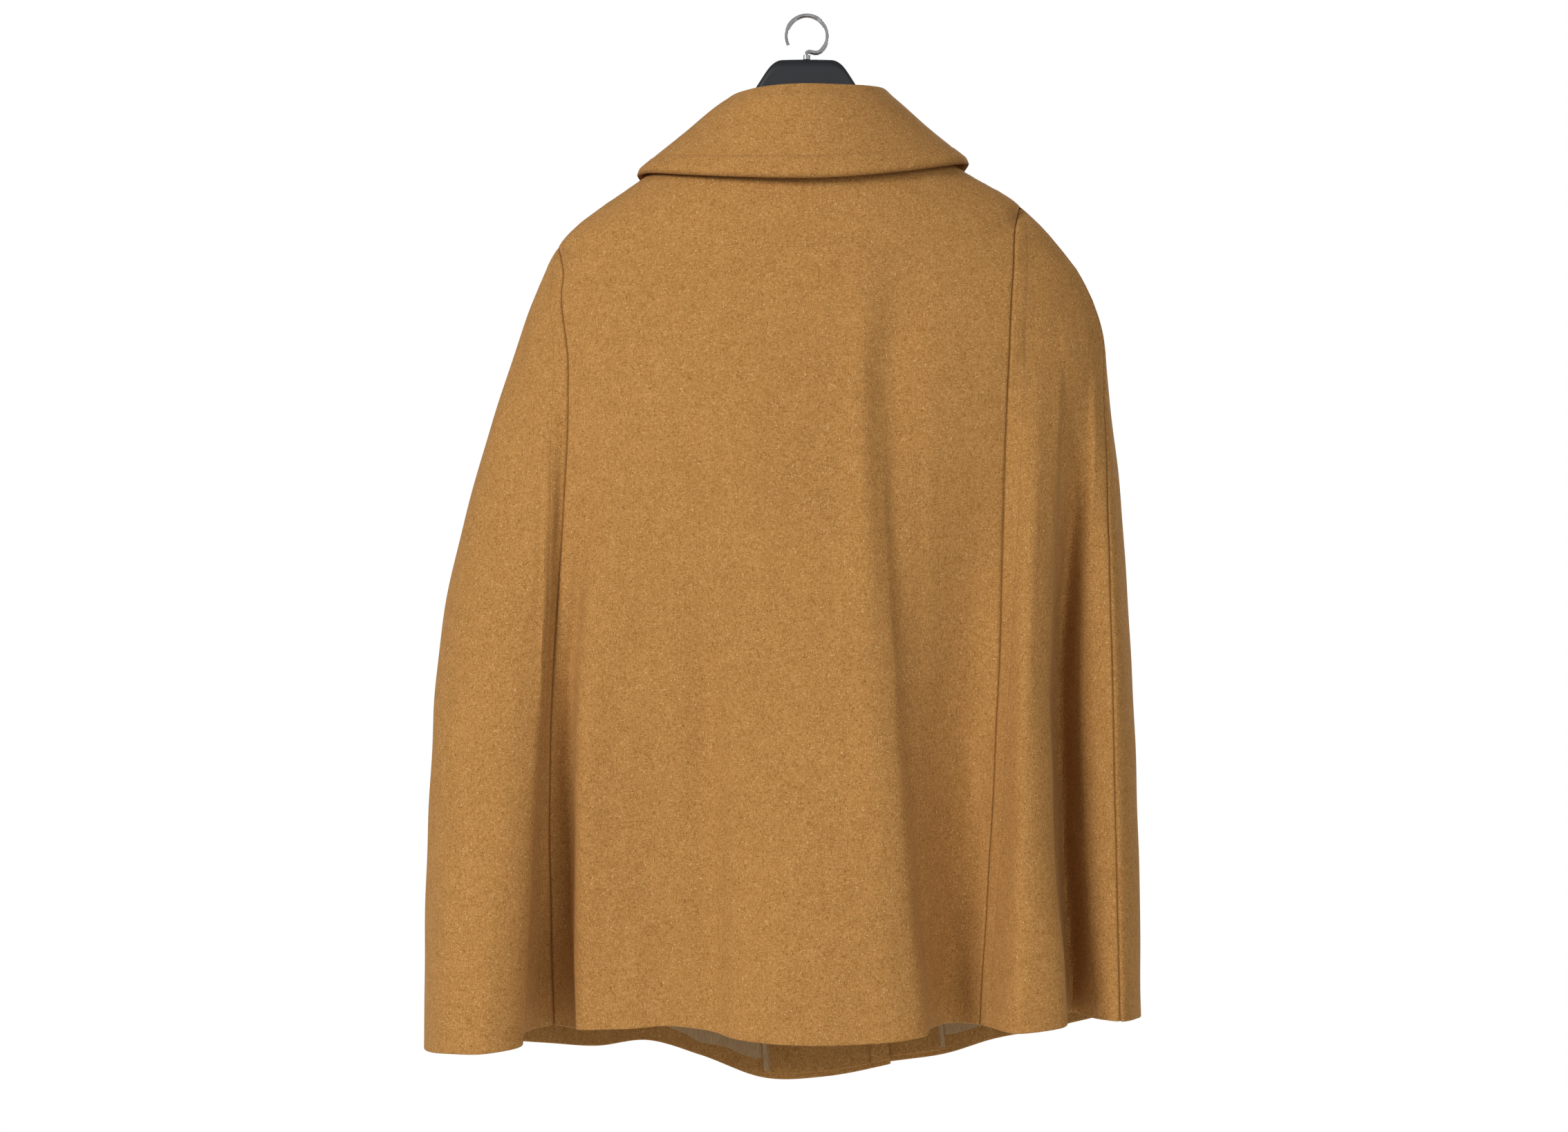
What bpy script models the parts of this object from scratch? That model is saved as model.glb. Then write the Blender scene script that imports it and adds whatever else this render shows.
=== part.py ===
"""A wool cape on a moulded hanger, at its real size.

The cloth is one surface that runs from the neck seam to the hem. Five rings shape its upper part,
where the cape lies over the hanger, and a row for each fold line shapes the hanging part below.
Each panel is a closed wall between two seam lines of that surface, and facings and linings are made
from the same points, moved inwards.

+Z is up, the back faces -Y, the front +Y, and the wearer's right is +X. The origin is the inner top
of the hook, where the hanger is held.
"""

import math
from collections import namedtuple

import bmesh
import bpy
import numpy as np
from mathutils import Matrix, Vector

MM = 0.001

# Cloth, in mm
WOOL = 2.5
FACING_WOOL = 2.2
SATIN = 1.0
SEAM_GAP = 0.3
HALF_GAP = SEAM_GAP / 2
LINING_GAP = 0.5
LINING_MARGIN = 2.5  # a lining stops this far short of the side seam
OVERLAP_STEP = 7.2  # the right front lies this far outside the left one

# Hanger, in mm
HOOK_INNER_RADIUS = 16.0
HOOK_WIRE_RADIUS = 2.0
HUMP_TOP_Z = -37.0
HUMP_HALF_WIDTH = 30.0
HUMP_FOOT_HALF_WIDTH = 43.0
HUMP_FOOT_Z = -59.0
ARM_END_X = 184.0
FERRULE_RADIUS = 4.0
FERRULE_HEIGHT = 4.0

# Buttons, in mm
BUTTON_RADIUS = 14.0
BUTTON_THICK = 4.5
BUTTON_LEVELS = (0.25, 0.37, 0.49, 0.61)
BUTTON_LIFT = 0.9

# Upper rings, in mm: an elliptical ring through its left, back, right and front points.
Ring = namedtuple(
    "Ring", "name left_x left_z right_x right_z mid_x back_y back_z front_y front_z"
)
BODY_RINGS = (
    Ring("neck", -84, -102, 76, -96, -4, -60, -98, 58, -150),
    Ring("collar", -151, -147, 142, -139, -6, -76, -153, 74, -208),
    Ring("shoulder", -218, -200, 186, -165, -10, -85, -208, 84, -268),
    Ring("tip", -237, -242, 240, -228, -10, -91, -258, 89, -318),
    Ring("yoke", -261, -304, 262, -296, -10, -96, -320, 93, -370),
)
COLLAR_RINGS = (
    Ring("base", -78.5, -102.3, 70.5, -96.3, -4, -54, -98.2, 52, -147.3),
    Ring("stand", -60, -84, 61, -80, 0, -50, -82, 45, -136),
    Ring("fold", -64, -69.5, 67, -63.5, 1, -57, -67, 51, -124),
    Ring("turn", -72, -74, 76, -71, 0, -64.5, -75, 58, -130),
    Ring("fall", -111, -104, 108, -99, 0, -75, -106, 80, -170),
    Ring("edge", -150, -136.5, 143, -127, -5, -91, -150.5, 98, -218),
)

# Fold lines, in order round the cape from the wearer's left front edge to the right one.
# A turn is the angle round a ring in degrees: 0 at the centre back, negative on the wearer's left.
# top: neck to shoulder ring. tip and yoke: those rings. mid and hem: the place in mm.
Line = namedtuple("Line", "name top tip yoke mid_x mid_y hem_x hem_y hem_z")
LINES = (
    Line("left_front_edge", -205, -203, -200, 48, 71, 76, 66, -928),
    Line("left_overlap", -182, -182, -182, -6, 73, 14, 68, -940),
    Line("left_facing_edge", -166, -167, -168, -52, 75, -36, 68, -941),
    Line("front_left_ridge", -134, -150, -154, -100, 88, -95, 96, -925),
    Line("front_left_crest", -126, -138, -143, -144, 100, -145, 122, -916),
    Line("front_left_valley", -118, -127, -131, -185, 84, -190, 88, -915),
    Line("front_left_second", -109, -116, -119, -232, 82, -240, 98, -914),
    Line("left_front_side", -100, -105, -108, -288, 54, -296, 70, -906),
    Line("seam_b_left", -90.1, -94, -97, -324, 20, -324, 25, -900),
    Line("left_side", -90.05, -88, -90, -330, -10, -331, -20, -897),
    Line("left_tube_outside", -90, -84, -83, -321, -46, -327, -62, -895),
    Line("left_tube_crest", -89.95, -79, -75, -294, -76, -306, -100, -891),
    Line("left_tube_front", -89.9, -74, -67, -254, -86, -268, -112, -889),
    Line("left_tube_edge", -89.85, -69, -59, -231, -79, -242, -90, -887),
    Line("left_tube_back", -89.8, -66, -55, -225, -70, -247, -34, -886),
    Line("seam_a_left", -89.7, -63, -51, -219, -57, -223, 8, -885),
    Line("left_valley", -72, -54, -44, -208, -50, -208, -8, -884),
    Line("left_inner_ridge", -60, -47, -39, -191, -73, -194, -56, -878),
    Line("back_left", -46, -36, -31, -154, -78, -153, -71, -875),
    Line("back_left_rise", -34, -27, -24, -112, -79, -115, -72, -872),
    Line("bulge_left", -21, -18, -16, -66, -94, -66, -100, -878),
    Line("bulge_mid_left", -8, -7, -7, -18, -109, -20, -123, -880),
    Line("bulge_mid", 5, 4, 4, 28, -115, 35, -129, -879),
    Line("bulge_right", 16, 13, 11, 57, -117, 78, -128, -876),
    Line("ridge", 25, 17, 14, 72, -112, 97, -118, -874),
    Line("ridge_back", 37, 25, 20, 87, -96, 105, -78, -874),
    Line("right_valley", 60, 40, 35, 144, -63, 132, -45, -874),
    Line("seam_a_right", 89.7, 48, 42, 161, -72, 147, -60, -873),
    Line("right_crest", 89.8, 54, 49, 185, -99, 179, -114, -872),
    Line("right_edge", 89.85, 60, 55, 203, -84, 214, -104, -869),
    Line("right_edge_back", 89.9, 65, 59, 210, -44, 222, -60, -868),
    Line("right_inner", 89.95, 70, 64, 221, -14, 231, -22, -868),
    Line("right_inner_side", 90, 77, 72, 238, -44, 247, -52, -869),
    Line("seam_b_right", 90.1, 84, 82, 262, -60, 267, -68, -869),
    Line("right_side", 94, 91, 92, 282, -28, 287, -38, -871),
    Line("right_side_front", 100, 103, 103, 276, 34, 288, 22, -877),
    Line("front_right_crest", 109, 115, 116, 240, 66, 262, 70, -886),
    Line("front_right_valley", 118, 127, 128, 198, 72, 215, 74, -898),
    Line("front_right_ridge", 128, 139, 141, 158, 92, 172, 100, -911),
    Line("right_facing_edge", 166, 164, 163, 98, 84, 125, 84, -922),
    Line("right_overlap", 182, 182, 182, 48, 78, 76, 73, -927),
    Line("right_front_edge", 205, 203, 200, -6, 80, 14, 75, -936),
)

# Lines of the front edges, whose distance across in mm sets their turns on the rings
FrontLine = namedtuple("FrontLine", "name neck_x yoke_x")
FRONT_LINES = (
    FrontLine("left_front_edge", 32, 36),
    FrontLine("left_overlap", -30, -22),
    FrontLine("left_facing_edge", -52, -66),
    FrontLine("right_facing_edge", 52, 80),
    FrontLine("right_overlap", 32, 36),
    FrontLine("right_front_edge", -30, -22),
)

# Levels down the cape, 0 at the neck seam and 1 at the hem: the five rings, the mid ring, the hem.
RING_LEVELS = (0.0, 0.08, 0.17, 0.225, 0.30)
LEVELS = (0.0, 0.08, 0.12, 0.15, 0.165, 0.17, 0.188, 0.207, 0.225, 0.30, 0.655, 1.0)
MID_SHARE = 0.52  # how far down from the yoke ring to the hem the mid ring lies
GORE_LEVEL = 0.174  # the side-back panels start at a point just below the shoulder ring
ROWS = (0, 0.04, 0.08, 0.13, GORE_LEVEL, 0.191, 0.214, 0.25, 0.31, 0.37, 0.49, 0.61, 0.70, 0.80, 0.90, 1)
FACING_END = 0.994
LINING_END = 0.978
GORES = (("seam_b_left", "seam_a_left"), ("seam_a_right", "seam_b_right"))
LONG_SPAN = 14.0  # fold lines further apart than this get a column between them, in mm

# Levels across the collar, from the foot of its stand over the fold to its edge
COLLAR_LEVELS = (0.0, 0.14, 0.26, 0.34, 0.66, 1.0)
COLLAR_ROWS = (0, 0.08, 0.16, 0.215, 0.26, 0.30, 0.36, 0.50, 0.75, 1)
COLLAR_END_TURN = 167.0
COLLAR_COLUMNS = 31

# Sections of the hanger's arm, in mm: the depth is along Y. The arm's top follows the cape.
# The drop is how far the top lies below the line just under the cape's shoulder.
ArmSection = namedtuple("ArmSection", "x drop half_depth height")
ARM_SECTIONS = (
    ArmSection(66, 4, 10, 32),
    ArmSection(90, 0.3, 12, 29),
    ArmSection(120, -0.2, 14, 27),
    ArmSection(148, 0.8, 14, 24),
    ArmSection(166, 3, 12, 20),
    ArmSection(177, 6, 10, 15),
    ArmSection(ARM_END_X, 11, 6, 8),
)
ARM_SIDES = 14


def clear_scene():
    for item in list(bpy.data.objects):
        bpy.data.objects.remove(item)


def material(name, colour, roughness, metallic=0.0):
    made = bpy.data.materials.new(name)
    made.use_nodes = True
    shader = made.node_tree.nodes["Principled BSDF"]
    shader.inputs["Base Color"].default_value = (*colour, 1)
    shader.inputs["Roughness"].default_value = roughness
    shader.inputs["Metallic"].default_value = metallic
    return made


def smooth_between(places, values, at, monotone=False):
    """A cubic through the values given at the places, read at other places along the first axis."""
    places = np.asarray(places, float)
    flat = np.asarray(values, float).reshape(len(places), -1)
    span = np.diff(places)[:, None]
    slope = np.diff(flat, axis=0) / span
    tangent = np.empty_like(flat)
    tangent[1:-1] = (slope[:-1] * span[1:] + slope[1:] * span[:-1]) / (span[:-1] + span[1:])
    if monotone:
        least = 2 * np.minimum(np.abs(slope[:-1]), np.abs(slope[1:]))
        limited = np.sign(tangent[1:-1]) * np.minimum(np.abs(tangent[1:-1]), least)
        tangent[1:-1] = np.where(slope[:-1] * slope[1:] > 0, limited, 0)
    tangent[0] = 1.5 * slope[0] - 0.5 * tangent[1]
    tangent[-1] = 1.5 * slope[-1] - 0.5 * tangent[-2]
    at = np.asarray(at, float)
    i = np.clip(np.searchsorted(places, at, side="right") - 1, 0, len(places) - 2)
    t = ((at - places[i]) / span[i, 0])[:, None]
    read = (1 + 2 * t) * (1 - t) ** 2 * flat[i] + t * (1 - t) ** 2 * span[i] * tangent[i]
    read += t * t * (3 - 2 * t) * flat[i + 1] + t * t * (t - 1) * span[i] * tangent[i + 1]
    return read.reshape((len(at),) + np.shape(values)[1:])


def ring_points(ring, turns, step=0.0):
    """Points of a ring at these turns. Past 130 degrees the right side moves out and the left in."""
    turns = np.asarray(turns, float)
    across = np.sin(np.radians(turns))
    along = np.cos(np.radians(turns))
    side_x = np.where(across >= 0, ring.right_x, ring.left_x)
    side_z = np.where(across >= 0, ring.right_z, ring.left_z)
    end_y = np.where(along > 0, ring.back_y, ring.front_y)
    end_z = np.where(along > 0, ring.back_z, ring.front_z)
    share = np.clip((np.abs(turns) - 130) / 35, 0, 1)
    moved = np.sign(turns) * step / 2 * share * share * (3 - 2 * share)
    x = ring.mid_x + (side_x - ring.mid_x) * np.abs(across)
    y = end_y * np.abs(along) + moved
    z = side_z * across**2 + end_z * along**2
    return np.stack([x, y, z], axis=-1)


def front_turn(ring, x, side):
    """The turn at which a ring's front is this far across. The side is -1 left or 1 right."""
    across = x - ring.mid_x
    half = ring.right_x - ring.mid_x if across > 0 else ring.mid_x - ring.left_x
    return side * (180 - side * math.degrees(math.asin(across / half)))


def all_rings():
    """A ring at each level down to the yoke. More lie near the shoulder, where the side seams start."""
    sizes = [ring[1:] for ring in BODY_RINGS]
    read = smooth_between(RING_LEVELS, sizes, LEVELS[:-2], monotone=True)
    return [Ring("level", *row) for row in read]


RINGS = all_rings()


def turn_between(first, last, share):
    """The turn this share of the way from one turn to another, moving evenly across the cape."""
    start = min(abs(first), 90) if abs(last) < 90 else abs(first)
    across = math.sin(math.radians(start)) * (1 - share) + math.sin(math.radians(abs(last))) * share
    if abs(last) < 90:
        across -= 0.18 * share * (1 - share) * math.cos(math.radians(last))
    size = math.degrees(math.asin(across))
    return math.copysign(size if abs(last) < 90 else 180 - size, last)


def ring_turns():
    """The turn of each line on each ring, lines x rings."""
    turns = {}
    shoulder, tip, yoke = RING_LEVELS[2:]
    for line in LINES:
        row = []
        for level in LEVELS[: len(RINGS) - 1]:
            share = max(0, (level - shoulder) / (tip - shoulder))
            row.append(turn_between(line.top, line.tip, share) if share else line.top)
        turns[line.name] = row + [line.yoke]
    for line in FRONT_LINES:
        side = -1 if line.name.startswith("left") else 1
        for i, ring in enumerate(RINGS):
            share = LEVELS[i] / yoke
            x = line.neck_x + (line.yoke_x - line.neck_x) * share
            turns[line.name][i] = front_turn(ring, x, side)
    return np.array([turns[line.name] for line in LINES])


RING_TURNS = ring_turns()
LOW_COURSE = np.array([line[4:] for line in LINES], float)
MIDDLE_COURSE = (LOW_COURSE[:, 0:2] + LOW_COURSE[:, 2:4]) / 2
LINE_PLACES = np.concatenate(
    [[0], np.cumsum(np.linalg.norm(np.diff(MIDDLE_COURSE, axis=0), axis=1))]
)
PLACE = dict(zip([line.name for line in LINES], LINE_PLACES))


def cape_row(places, level):
    """Points of the cape's outer face at these places round it, at one level, in mm."""
    turns = smooth_between(LINE_PLACES, RING_TURNS, places, monotone=True)
    low = smooth_between(LINE_PLACES, LOW_COURSE, places)
    sections = np.zeros((len(LEVELS), len(places), 3))
    for i, ring in enumerate(RINGS):
        sections[i] = ring_points(ring, turns[:, i], OVERLAP_STEP)
    yoke_z = sections[len(RINGS) - 1, :, 2]
    sections[-2, :, :2] = low[:, :2]
    sections[-2, :, 2] = yoke_z + MID_SHARE * (low[:, 4] - yoke_z)
    sections[-1] = low[:, 2:]
    return smooth_between(LEVELS, sections, [level], monotone=True)[0]


def unit(vectors):
    return vectors / np.linalg.norm(vectors, axis=-1, keepdims=True)


def cape_grid(places, levels):
    """(points, outward normals) of the cape's outer face, each levels x places x 3.

    Above the gores the seams beside them meet, so there each gore has one normal.
    """
    points, normals = [], []
    small_place, small_level = 0.5, 0.002
    for level in levels:
        above, below = max(level - small_level, 0), min(level + small_level, 1)
        felt = places
        if level <= GORE_LEVEL:
            for gore in GORES:
                first, last = PLACE[gore[0]], PLACE[gore[1]]
                felt = np.where((felt >= first) & (felt <= last), (first + last) / 2, felt)
        low = np.maximum(felt - small_place, 0)
        high = np.minimum(felt + small_place, LINE_PLACES[-1])
        along = cape_row(high, level) - cape_row(low, level)
        down = cape_row(felt, below) - cape_row(felt, above)
        points.append(cape_row(places, level))
        normals.append(unit(np.cross(down, along)))
    return np.array(points), np.array(normals)


def columns_between(first, last):
    """Places from one fold line to another, with one more between lines that lie far apart."""
    stops = [p for p in LINE_PLACES if PLACE[first] <= p <= PLACE[last]]
    places = [stops[0]]
    for near, far in zip(stops, stops[1:]):
        if far - near > LONG_SPAN:
            places.append((near + far) / 2)
        places.append(far)
    return np.array(places)


def wall(name, outer, inner, surface):
    """A closed wall between two grids of points in mm, each rows x columns x 3."""
    rows, columns = outer.shape[:2]
    count = rows * columns
    points = np.concatenate([outer.reshape(-1, 3), inner.reshape(-1, 3)]) * MM
    index = np.arange(count).reshape(rows, columns)
    a, b = index[:-1, :-1].ravel(), index[1:, :-1].ravel()
    c, d = index[1:, 1:].ravel(), index[:-1, 1:].ravel()
    outside = np.concatenate([np.stack([a, b, c], 1), np.stack([a, c, d], 1)])
    inside = outside[:, ::-1] + count
    down_start = np.concatenate([index[0, ::-1], index[1:, 0], index[-1, 1:]])
    near, far = down_start[:-1], down_start[1:]
    up_near, up_far = index[1:, -1], index[:-1, -1]
    side = np.concatenate(
        [
            np.stack([far, near, near + count], 1),
            np.stack([far, near + count, far + count], 1),
            np.stack([up_far, up_near, up_far + count], 1),
            np.stack([up_near, up_near + count, up_far + count], 1),
        ]
    )
    mesh = bpy.data.meshes.new(name)
    mesh.from_pydata(points.tolist(), [], np.concatenate([outside, inside, side]).tolist())
    mesh.shade_smooth()
    mesh.set_sharp_from_angle(angle=math.radians(50))
    mesh.materials.append(surface)
    made = bpy.data.objects.new(name, mesh)
    bpy.context.scene.collection.objects.link(made)
    return made


def panel(name, ends, surface, levels=ROWS, depth=0.0, thick=WOOL, clear=(HALF_GAP, HALF_GAP)):
    """A wall of cloth between two fold lines, its outer face this deep inside the cape's own.

    clear is how far its first and last columns stop short of those lines.
    """
    points, normals = cape_grid(columns_between(*ends), levels)
    for end, beside, short in ((0, 1, clear[0]), (-1, -2, clear[1])):
        width = np.linalg.norm(points[:, beside] - points[:, end], axis=-1, keepdims=True)
        share = np.minimum(short / width, 0.8)
        points[:, end] += share * (points[:, beside] - points[:, end])
        normals[:, end] += share * (normals[:, beside] - normals[:, end])
    outer = points - normals * depth
    return wall(name, outer, outer - normals * thick, surface)


def make_cape(wool, satin):
    side_rows = tuple(level for level in ROWS if level >= GORE_LEVEL)
    facing_rows = ROWS[:-1] + (FACING_END,)
    lining_rows = ROWS[:-1] + (LINING_END,)
    facing_depth = WOOL + SEAM_GAP
    lining_depth = WOOL + LINING_GAP
    panel("back_panel", ("seam_a_left", "seam_a_right"), wool)
    panel("side_back_left", GORES[0], wool, side_rows)
    panel("side_back_right", GORES[1], wool, side_rows)

    edge, fold, seam = "left_front_edge", "left_facing_edge", "seam_b_left"
    panel("front_left", (edge, seam), wool, clear=(0, HALF_GAP))
    panel("facing_left", (edge, fold), wool, facing_rows, facing_depth, FACING_WOOL, (0, HALF_GAP))
    panel("lining_left", (fold, seam), satin, lining_rows, lining_depth, SATIN, (HALF_GAP, LINING_MARGIN))

    edge, fold, seam = "right_front_edge", "right_facing_edge", "seam_b_right"
    panel("front_right", (seam, edge), wool, clear=(HALF_GAP, 0))
    panel("facing_right", (fold, edge), wool, facing_rows, facing_depth, FACING_WOOL, (HALF_GAP, 0))
    panel("lining_right", (seam, fold), satin, lining_rows, lining_depth, SATIN, (LINING_MARGIN, HALF_GAP))


def collar_grid():
    """(points, outward normals) of the collar's outer face, from its foot over the fold to its edge."""
    turns = np.linspace(-COLLAR_END_TURN, COLLAR_END_TURN, COLLAR_COLUMNS)
    sections = np.array([ring_points(ring, turns) for ring in COLLAR_RINGS])
    points = smooth_between(COLLAR_LEVELS, sections, COLLAR_ROWS)
    down = np.gradient(points, axis=0)
    along = np.gradient(points, axis=1)
    return points, unit(np.cross(down, along))


def make_collar(wool):
    points, normals = collar_grid()
    under = points - normals * (WOOL + SEAM_GAP)
    wall("top_collar", points, points - normals * WOOL, wool)
    wall("undercollar", under, under - normals * WOOL, wool)


def make_buttons(horn):
    centre = (PLACE["right_overlap"] + PLACE["right_front_edge"]) / 2
    lift = BUTTON_LIFT + BUTTON_THICK / 2
    for number, level in enumerate(BUTTON_LEVELS, start=1):
        points, normals = cape_grid(np.array([centre]), [level])
        place = Vector(points[0, 0] + normals[0, 0] * lift) * MM
        turn = Vector(normals[0, 0]).to_track_quat("Z", "Y").to_matrix().to_4x4()
        mesh = bpy.data.meshes.new(f"button_{number}")
        shape = bmesh.new()
        bmesh.ops.create_cone(
            shape,
            cap_ends=True,
            segments=32,
            radius1=BUTTON_RADIUS * MM,
            radius2=BUTTON_RADIUS * MM,
            depth=BUTTON_THICK * MM,
            matrix=Matrix.Translation(place) @ turn,
        )
        shape.to_mesh(mesh)
        shape.free()
        mesh.shade_smooth()
        mesh.set_sharp_from_angle(angle=math.radians(40))
        mesh.materials.append(horn)
        made = bpy.data.objects.new(f"button_{number}", mesh)
        bpy.context.scene.collection.objects.link(made)


def arm_top(x):
    """The height of the arm's top at x, just under the cape's shoulder."""
    names = ("left_x", "left_z") if x < 0 else ("right_x", "right_z")
    ridge = [[getattr(ring, name) for name in names] for ring in BODY_RINGS]
    xs, zs = np.abs(np.array(ridge)[:, 0]), np.array(ridge)[:, 1]
    slope = math.radians(40)
    clear = (WOOL + LINING_GAP + SATIN + 2 * SEAM_GAP) / math.cos(slope)
    return float(smooth_between(xs, zs, [abs(x)])[0]) - clear


def hanger_section(x, top, height, half_depth):
    """Points of one rounded section of the hanger in the plane at x, in mm."""
    turns = np.linspace(0, 2 * math.pi, ARM_SIDES, endpoint=False)
    y = half_depth * np.sin(turns)
    z = top - height / 2 + height / 2 * np.cos(turns)
    return np.stack([np.full(ARM_SIDES, x), y, z], axis=-1)


def make_hanger(plastic):
    """The moulded body: two arms and a raised saddle between them, lofted from end to end."""
    hump = ((0, HUMP_TOP_Z), (HUMP_HALF_WIDTH - 8, HUMP_TOP_Z - 0.4), (HUMP_HALF_WIDTH, HUMP_TOP_Z - 4))
    sections = []
    for x, top in hump + ((HUMP_FOOT_HALF_WIDTH, HUMP_FOOT_Z),):
        sections.append((x, top, top - HUMP_TOP_Z + 72, 10))
    half = [(x, top, height, depth) for x, top, height, depth in sections]
    rows = [(-x, top, height, depth) for x, top, height, depth in reversed(half[1:])] + half
    left_arm = [(-s.x, arm_top(-s.x) - s.drop, s.height, s.half_depth) for s in reversed(ARM_SECTIONS)]
    right_arm = [(s.x, arm_top(s.x) - s.drop, s.height, s.half_depth) for s in ARM_SECTIONS]
    rings = np.array([hanger_section(*row) for row in left_arm + rows + right_arm]) * MM
    shape = bmesh.new()
    made = [[shape.verts.new(point) for point in ring] for ring in rings]
    for near, far in zip(made, made[1:]):
        for i in range(ARM_SIDES):
            j = (i + 1) % ARM_SIDES
            shape.faces.new((near[i], near[j], far[j], far[i]))
    shape.faces.new(made[0][::-1])
    shape.faces.new(made[-1])
    bmesh.ops.recalc_face_normals(shape, faces=shape.faces)
    bmesh.ops.triangulate(shape, faces=shape.faces)
    mesh = bpy.data.meshes.new("hanger_body")
    shape.to_mesh(mesh)
    shape.free()
    mesh.shade_smooth()
    mesh.set_sharp_from_angle(angle=math.radians(60))
    mesh.materials.append(plastic)
    bpy.context.scene.collection.objects.link(bpy.data.objects.new("hanger_body", mesh))


def make_hook(steel):
    """The ferrule on the saddle and the wire hook above it."""
    ferrule_base = HUMP_TOP_Z + SEAM_GAP
    ferrule_top = ferrule_base + FERRULE_HEIGHT
    mesh = bpy.data.meshes.new("hanger_ferrule")
    shape = bmesh.new()
    bmesh.ops.create_cone(
        shape,
        cap_ends=True,
        segments=24,
        radius1=FERRULE_RADIUS * MM,
        radius2=(FERRULE_RADIUS - 0.6) * MM,
        depth=FERRULE_HEIGHT * MM,
        matrix=Matrix.Translation((0, 0, (ferrule_base + ferrule_top) / 2 * MM)),
    )
    shape.to_mesh(mesh)
    shape.free()
    mesh.materials.append(steel)
    bpy.context.scene.collection.objects.link(bpy.data.objects.new("hanger_ferrule", mesh))

    radius = HOOK_INNER_RADIUS + HOOK_WIRE_RADIUS
    start = math.radians(-48)
    end = math.radians(205)
    stem_top = ferrule_top + SEAM_GAP
    first = Vector((0, 0, stem_top))
    joint = Vector((radius * math.cos(start), 0, -HOOK_INNER_RADIUS + radius * math.sin(start)))
    leave = Vector((-math.sin(start), 0, math.cos(start)))
    route = [first, first + Vector((0, 0, 1))]
    for step in range(1, 6):
        t = step / 6
        bend = (joint - first).length * 0.5
        a, b = first + Vector((0, 0, bend)), joint - leave * bend
        route.append((1 - t) ** 3 * first + 3 * t * (1 - t) ** 2 * a + 3 * t * t * (1 - t) * b + t**3 * joint)
    for step in range(25):
        turn = start + (end - start) * step / 24
        route.append(
            Vector((radius * math.cos(turn), 0, -HOOK_INNER_RADIUS + radius * math.sin(turn)))
        )
    curve = bpy.data.curves.new("hanger_hook", "CURVE")
    curve.dimensions = "3D"
    curve.bevel_depth = HOOK_WIRE_RADIUS * MM
    curve.bevel_resolution = 3
    curve.use_fill_caps = True
    line = curve.splines.new("POLY")
    line.points.add(len(route) - 1)
    for point, place in zip(line.points, route):
        point.co = (*(place * MM), 1)
    curve.materials.append(steel)
    bpy.context.scene.collection.objects.link(bpy.data.objects.new("hanger_hook", curve))


def main():
    clear_scene()
    wool = material("camel_wool", (0.48, 0.24, 0.07), 0.95)
    satin = material("tan_satin", (0.41, 0.245, 0.09), 0.45)
    horn = material("brown_horn", (0.09, 0.05, 0.022), 0.35)
    plastic = material("black_plastic", (0.014, 0.016, 0.02), 0.4)
    steel = material("chromed_steel", (0.75, 0.75, 0.76), 0.2, 1.0)
    make_cape(wool, satin)
    make_collar(wool)
    make_buttons(horn)
    make_hanger(plastic)
    make_hook(steel)


main()
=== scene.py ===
"""The looks of the wool cape on its hanger: cloth, lining, stitching, buttons, hanger, light and camera."""

import math
from collections import namedtuple

import bmesh
import bpy
import numpy as np
from mathutils import Matrix, Vector


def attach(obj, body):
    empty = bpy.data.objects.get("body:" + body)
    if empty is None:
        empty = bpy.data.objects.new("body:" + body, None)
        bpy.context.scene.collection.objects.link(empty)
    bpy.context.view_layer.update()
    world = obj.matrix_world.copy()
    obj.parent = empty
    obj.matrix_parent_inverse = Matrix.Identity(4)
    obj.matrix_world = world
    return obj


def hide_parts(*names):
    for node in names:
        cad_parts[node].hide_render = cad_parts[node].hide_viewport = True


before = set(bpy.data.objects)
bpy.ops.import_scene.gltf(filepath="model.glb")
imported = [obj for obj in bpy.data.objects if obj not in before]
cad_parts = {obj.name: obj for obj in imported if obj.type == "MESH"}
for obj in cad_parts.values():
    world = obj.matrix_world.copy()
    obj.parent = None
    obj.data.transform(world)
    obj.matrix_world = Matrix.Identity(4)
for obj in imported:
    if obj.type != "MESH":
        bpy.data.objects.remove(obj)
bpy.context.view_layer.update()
MM = 0.001

# Cloth, in mm, as the solids have it
WOOL = 2.5
FACING_WOOL = 2.2
SATIN = 1.0
SEAM_GAP = 0.3
LINING_GAP = 0.5
OVERLAP_STEP = 7.2
CLOTH_LENGTH = 820.0  # down the cape from the neck to the hem, which sets the rows' spacing
COLLAR_STITCH = 19.0
BUTTON_LIFT = 0.9
BUTTON_LEVELS = (0.25, 0.37, 0.49, 0.61)

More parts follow.
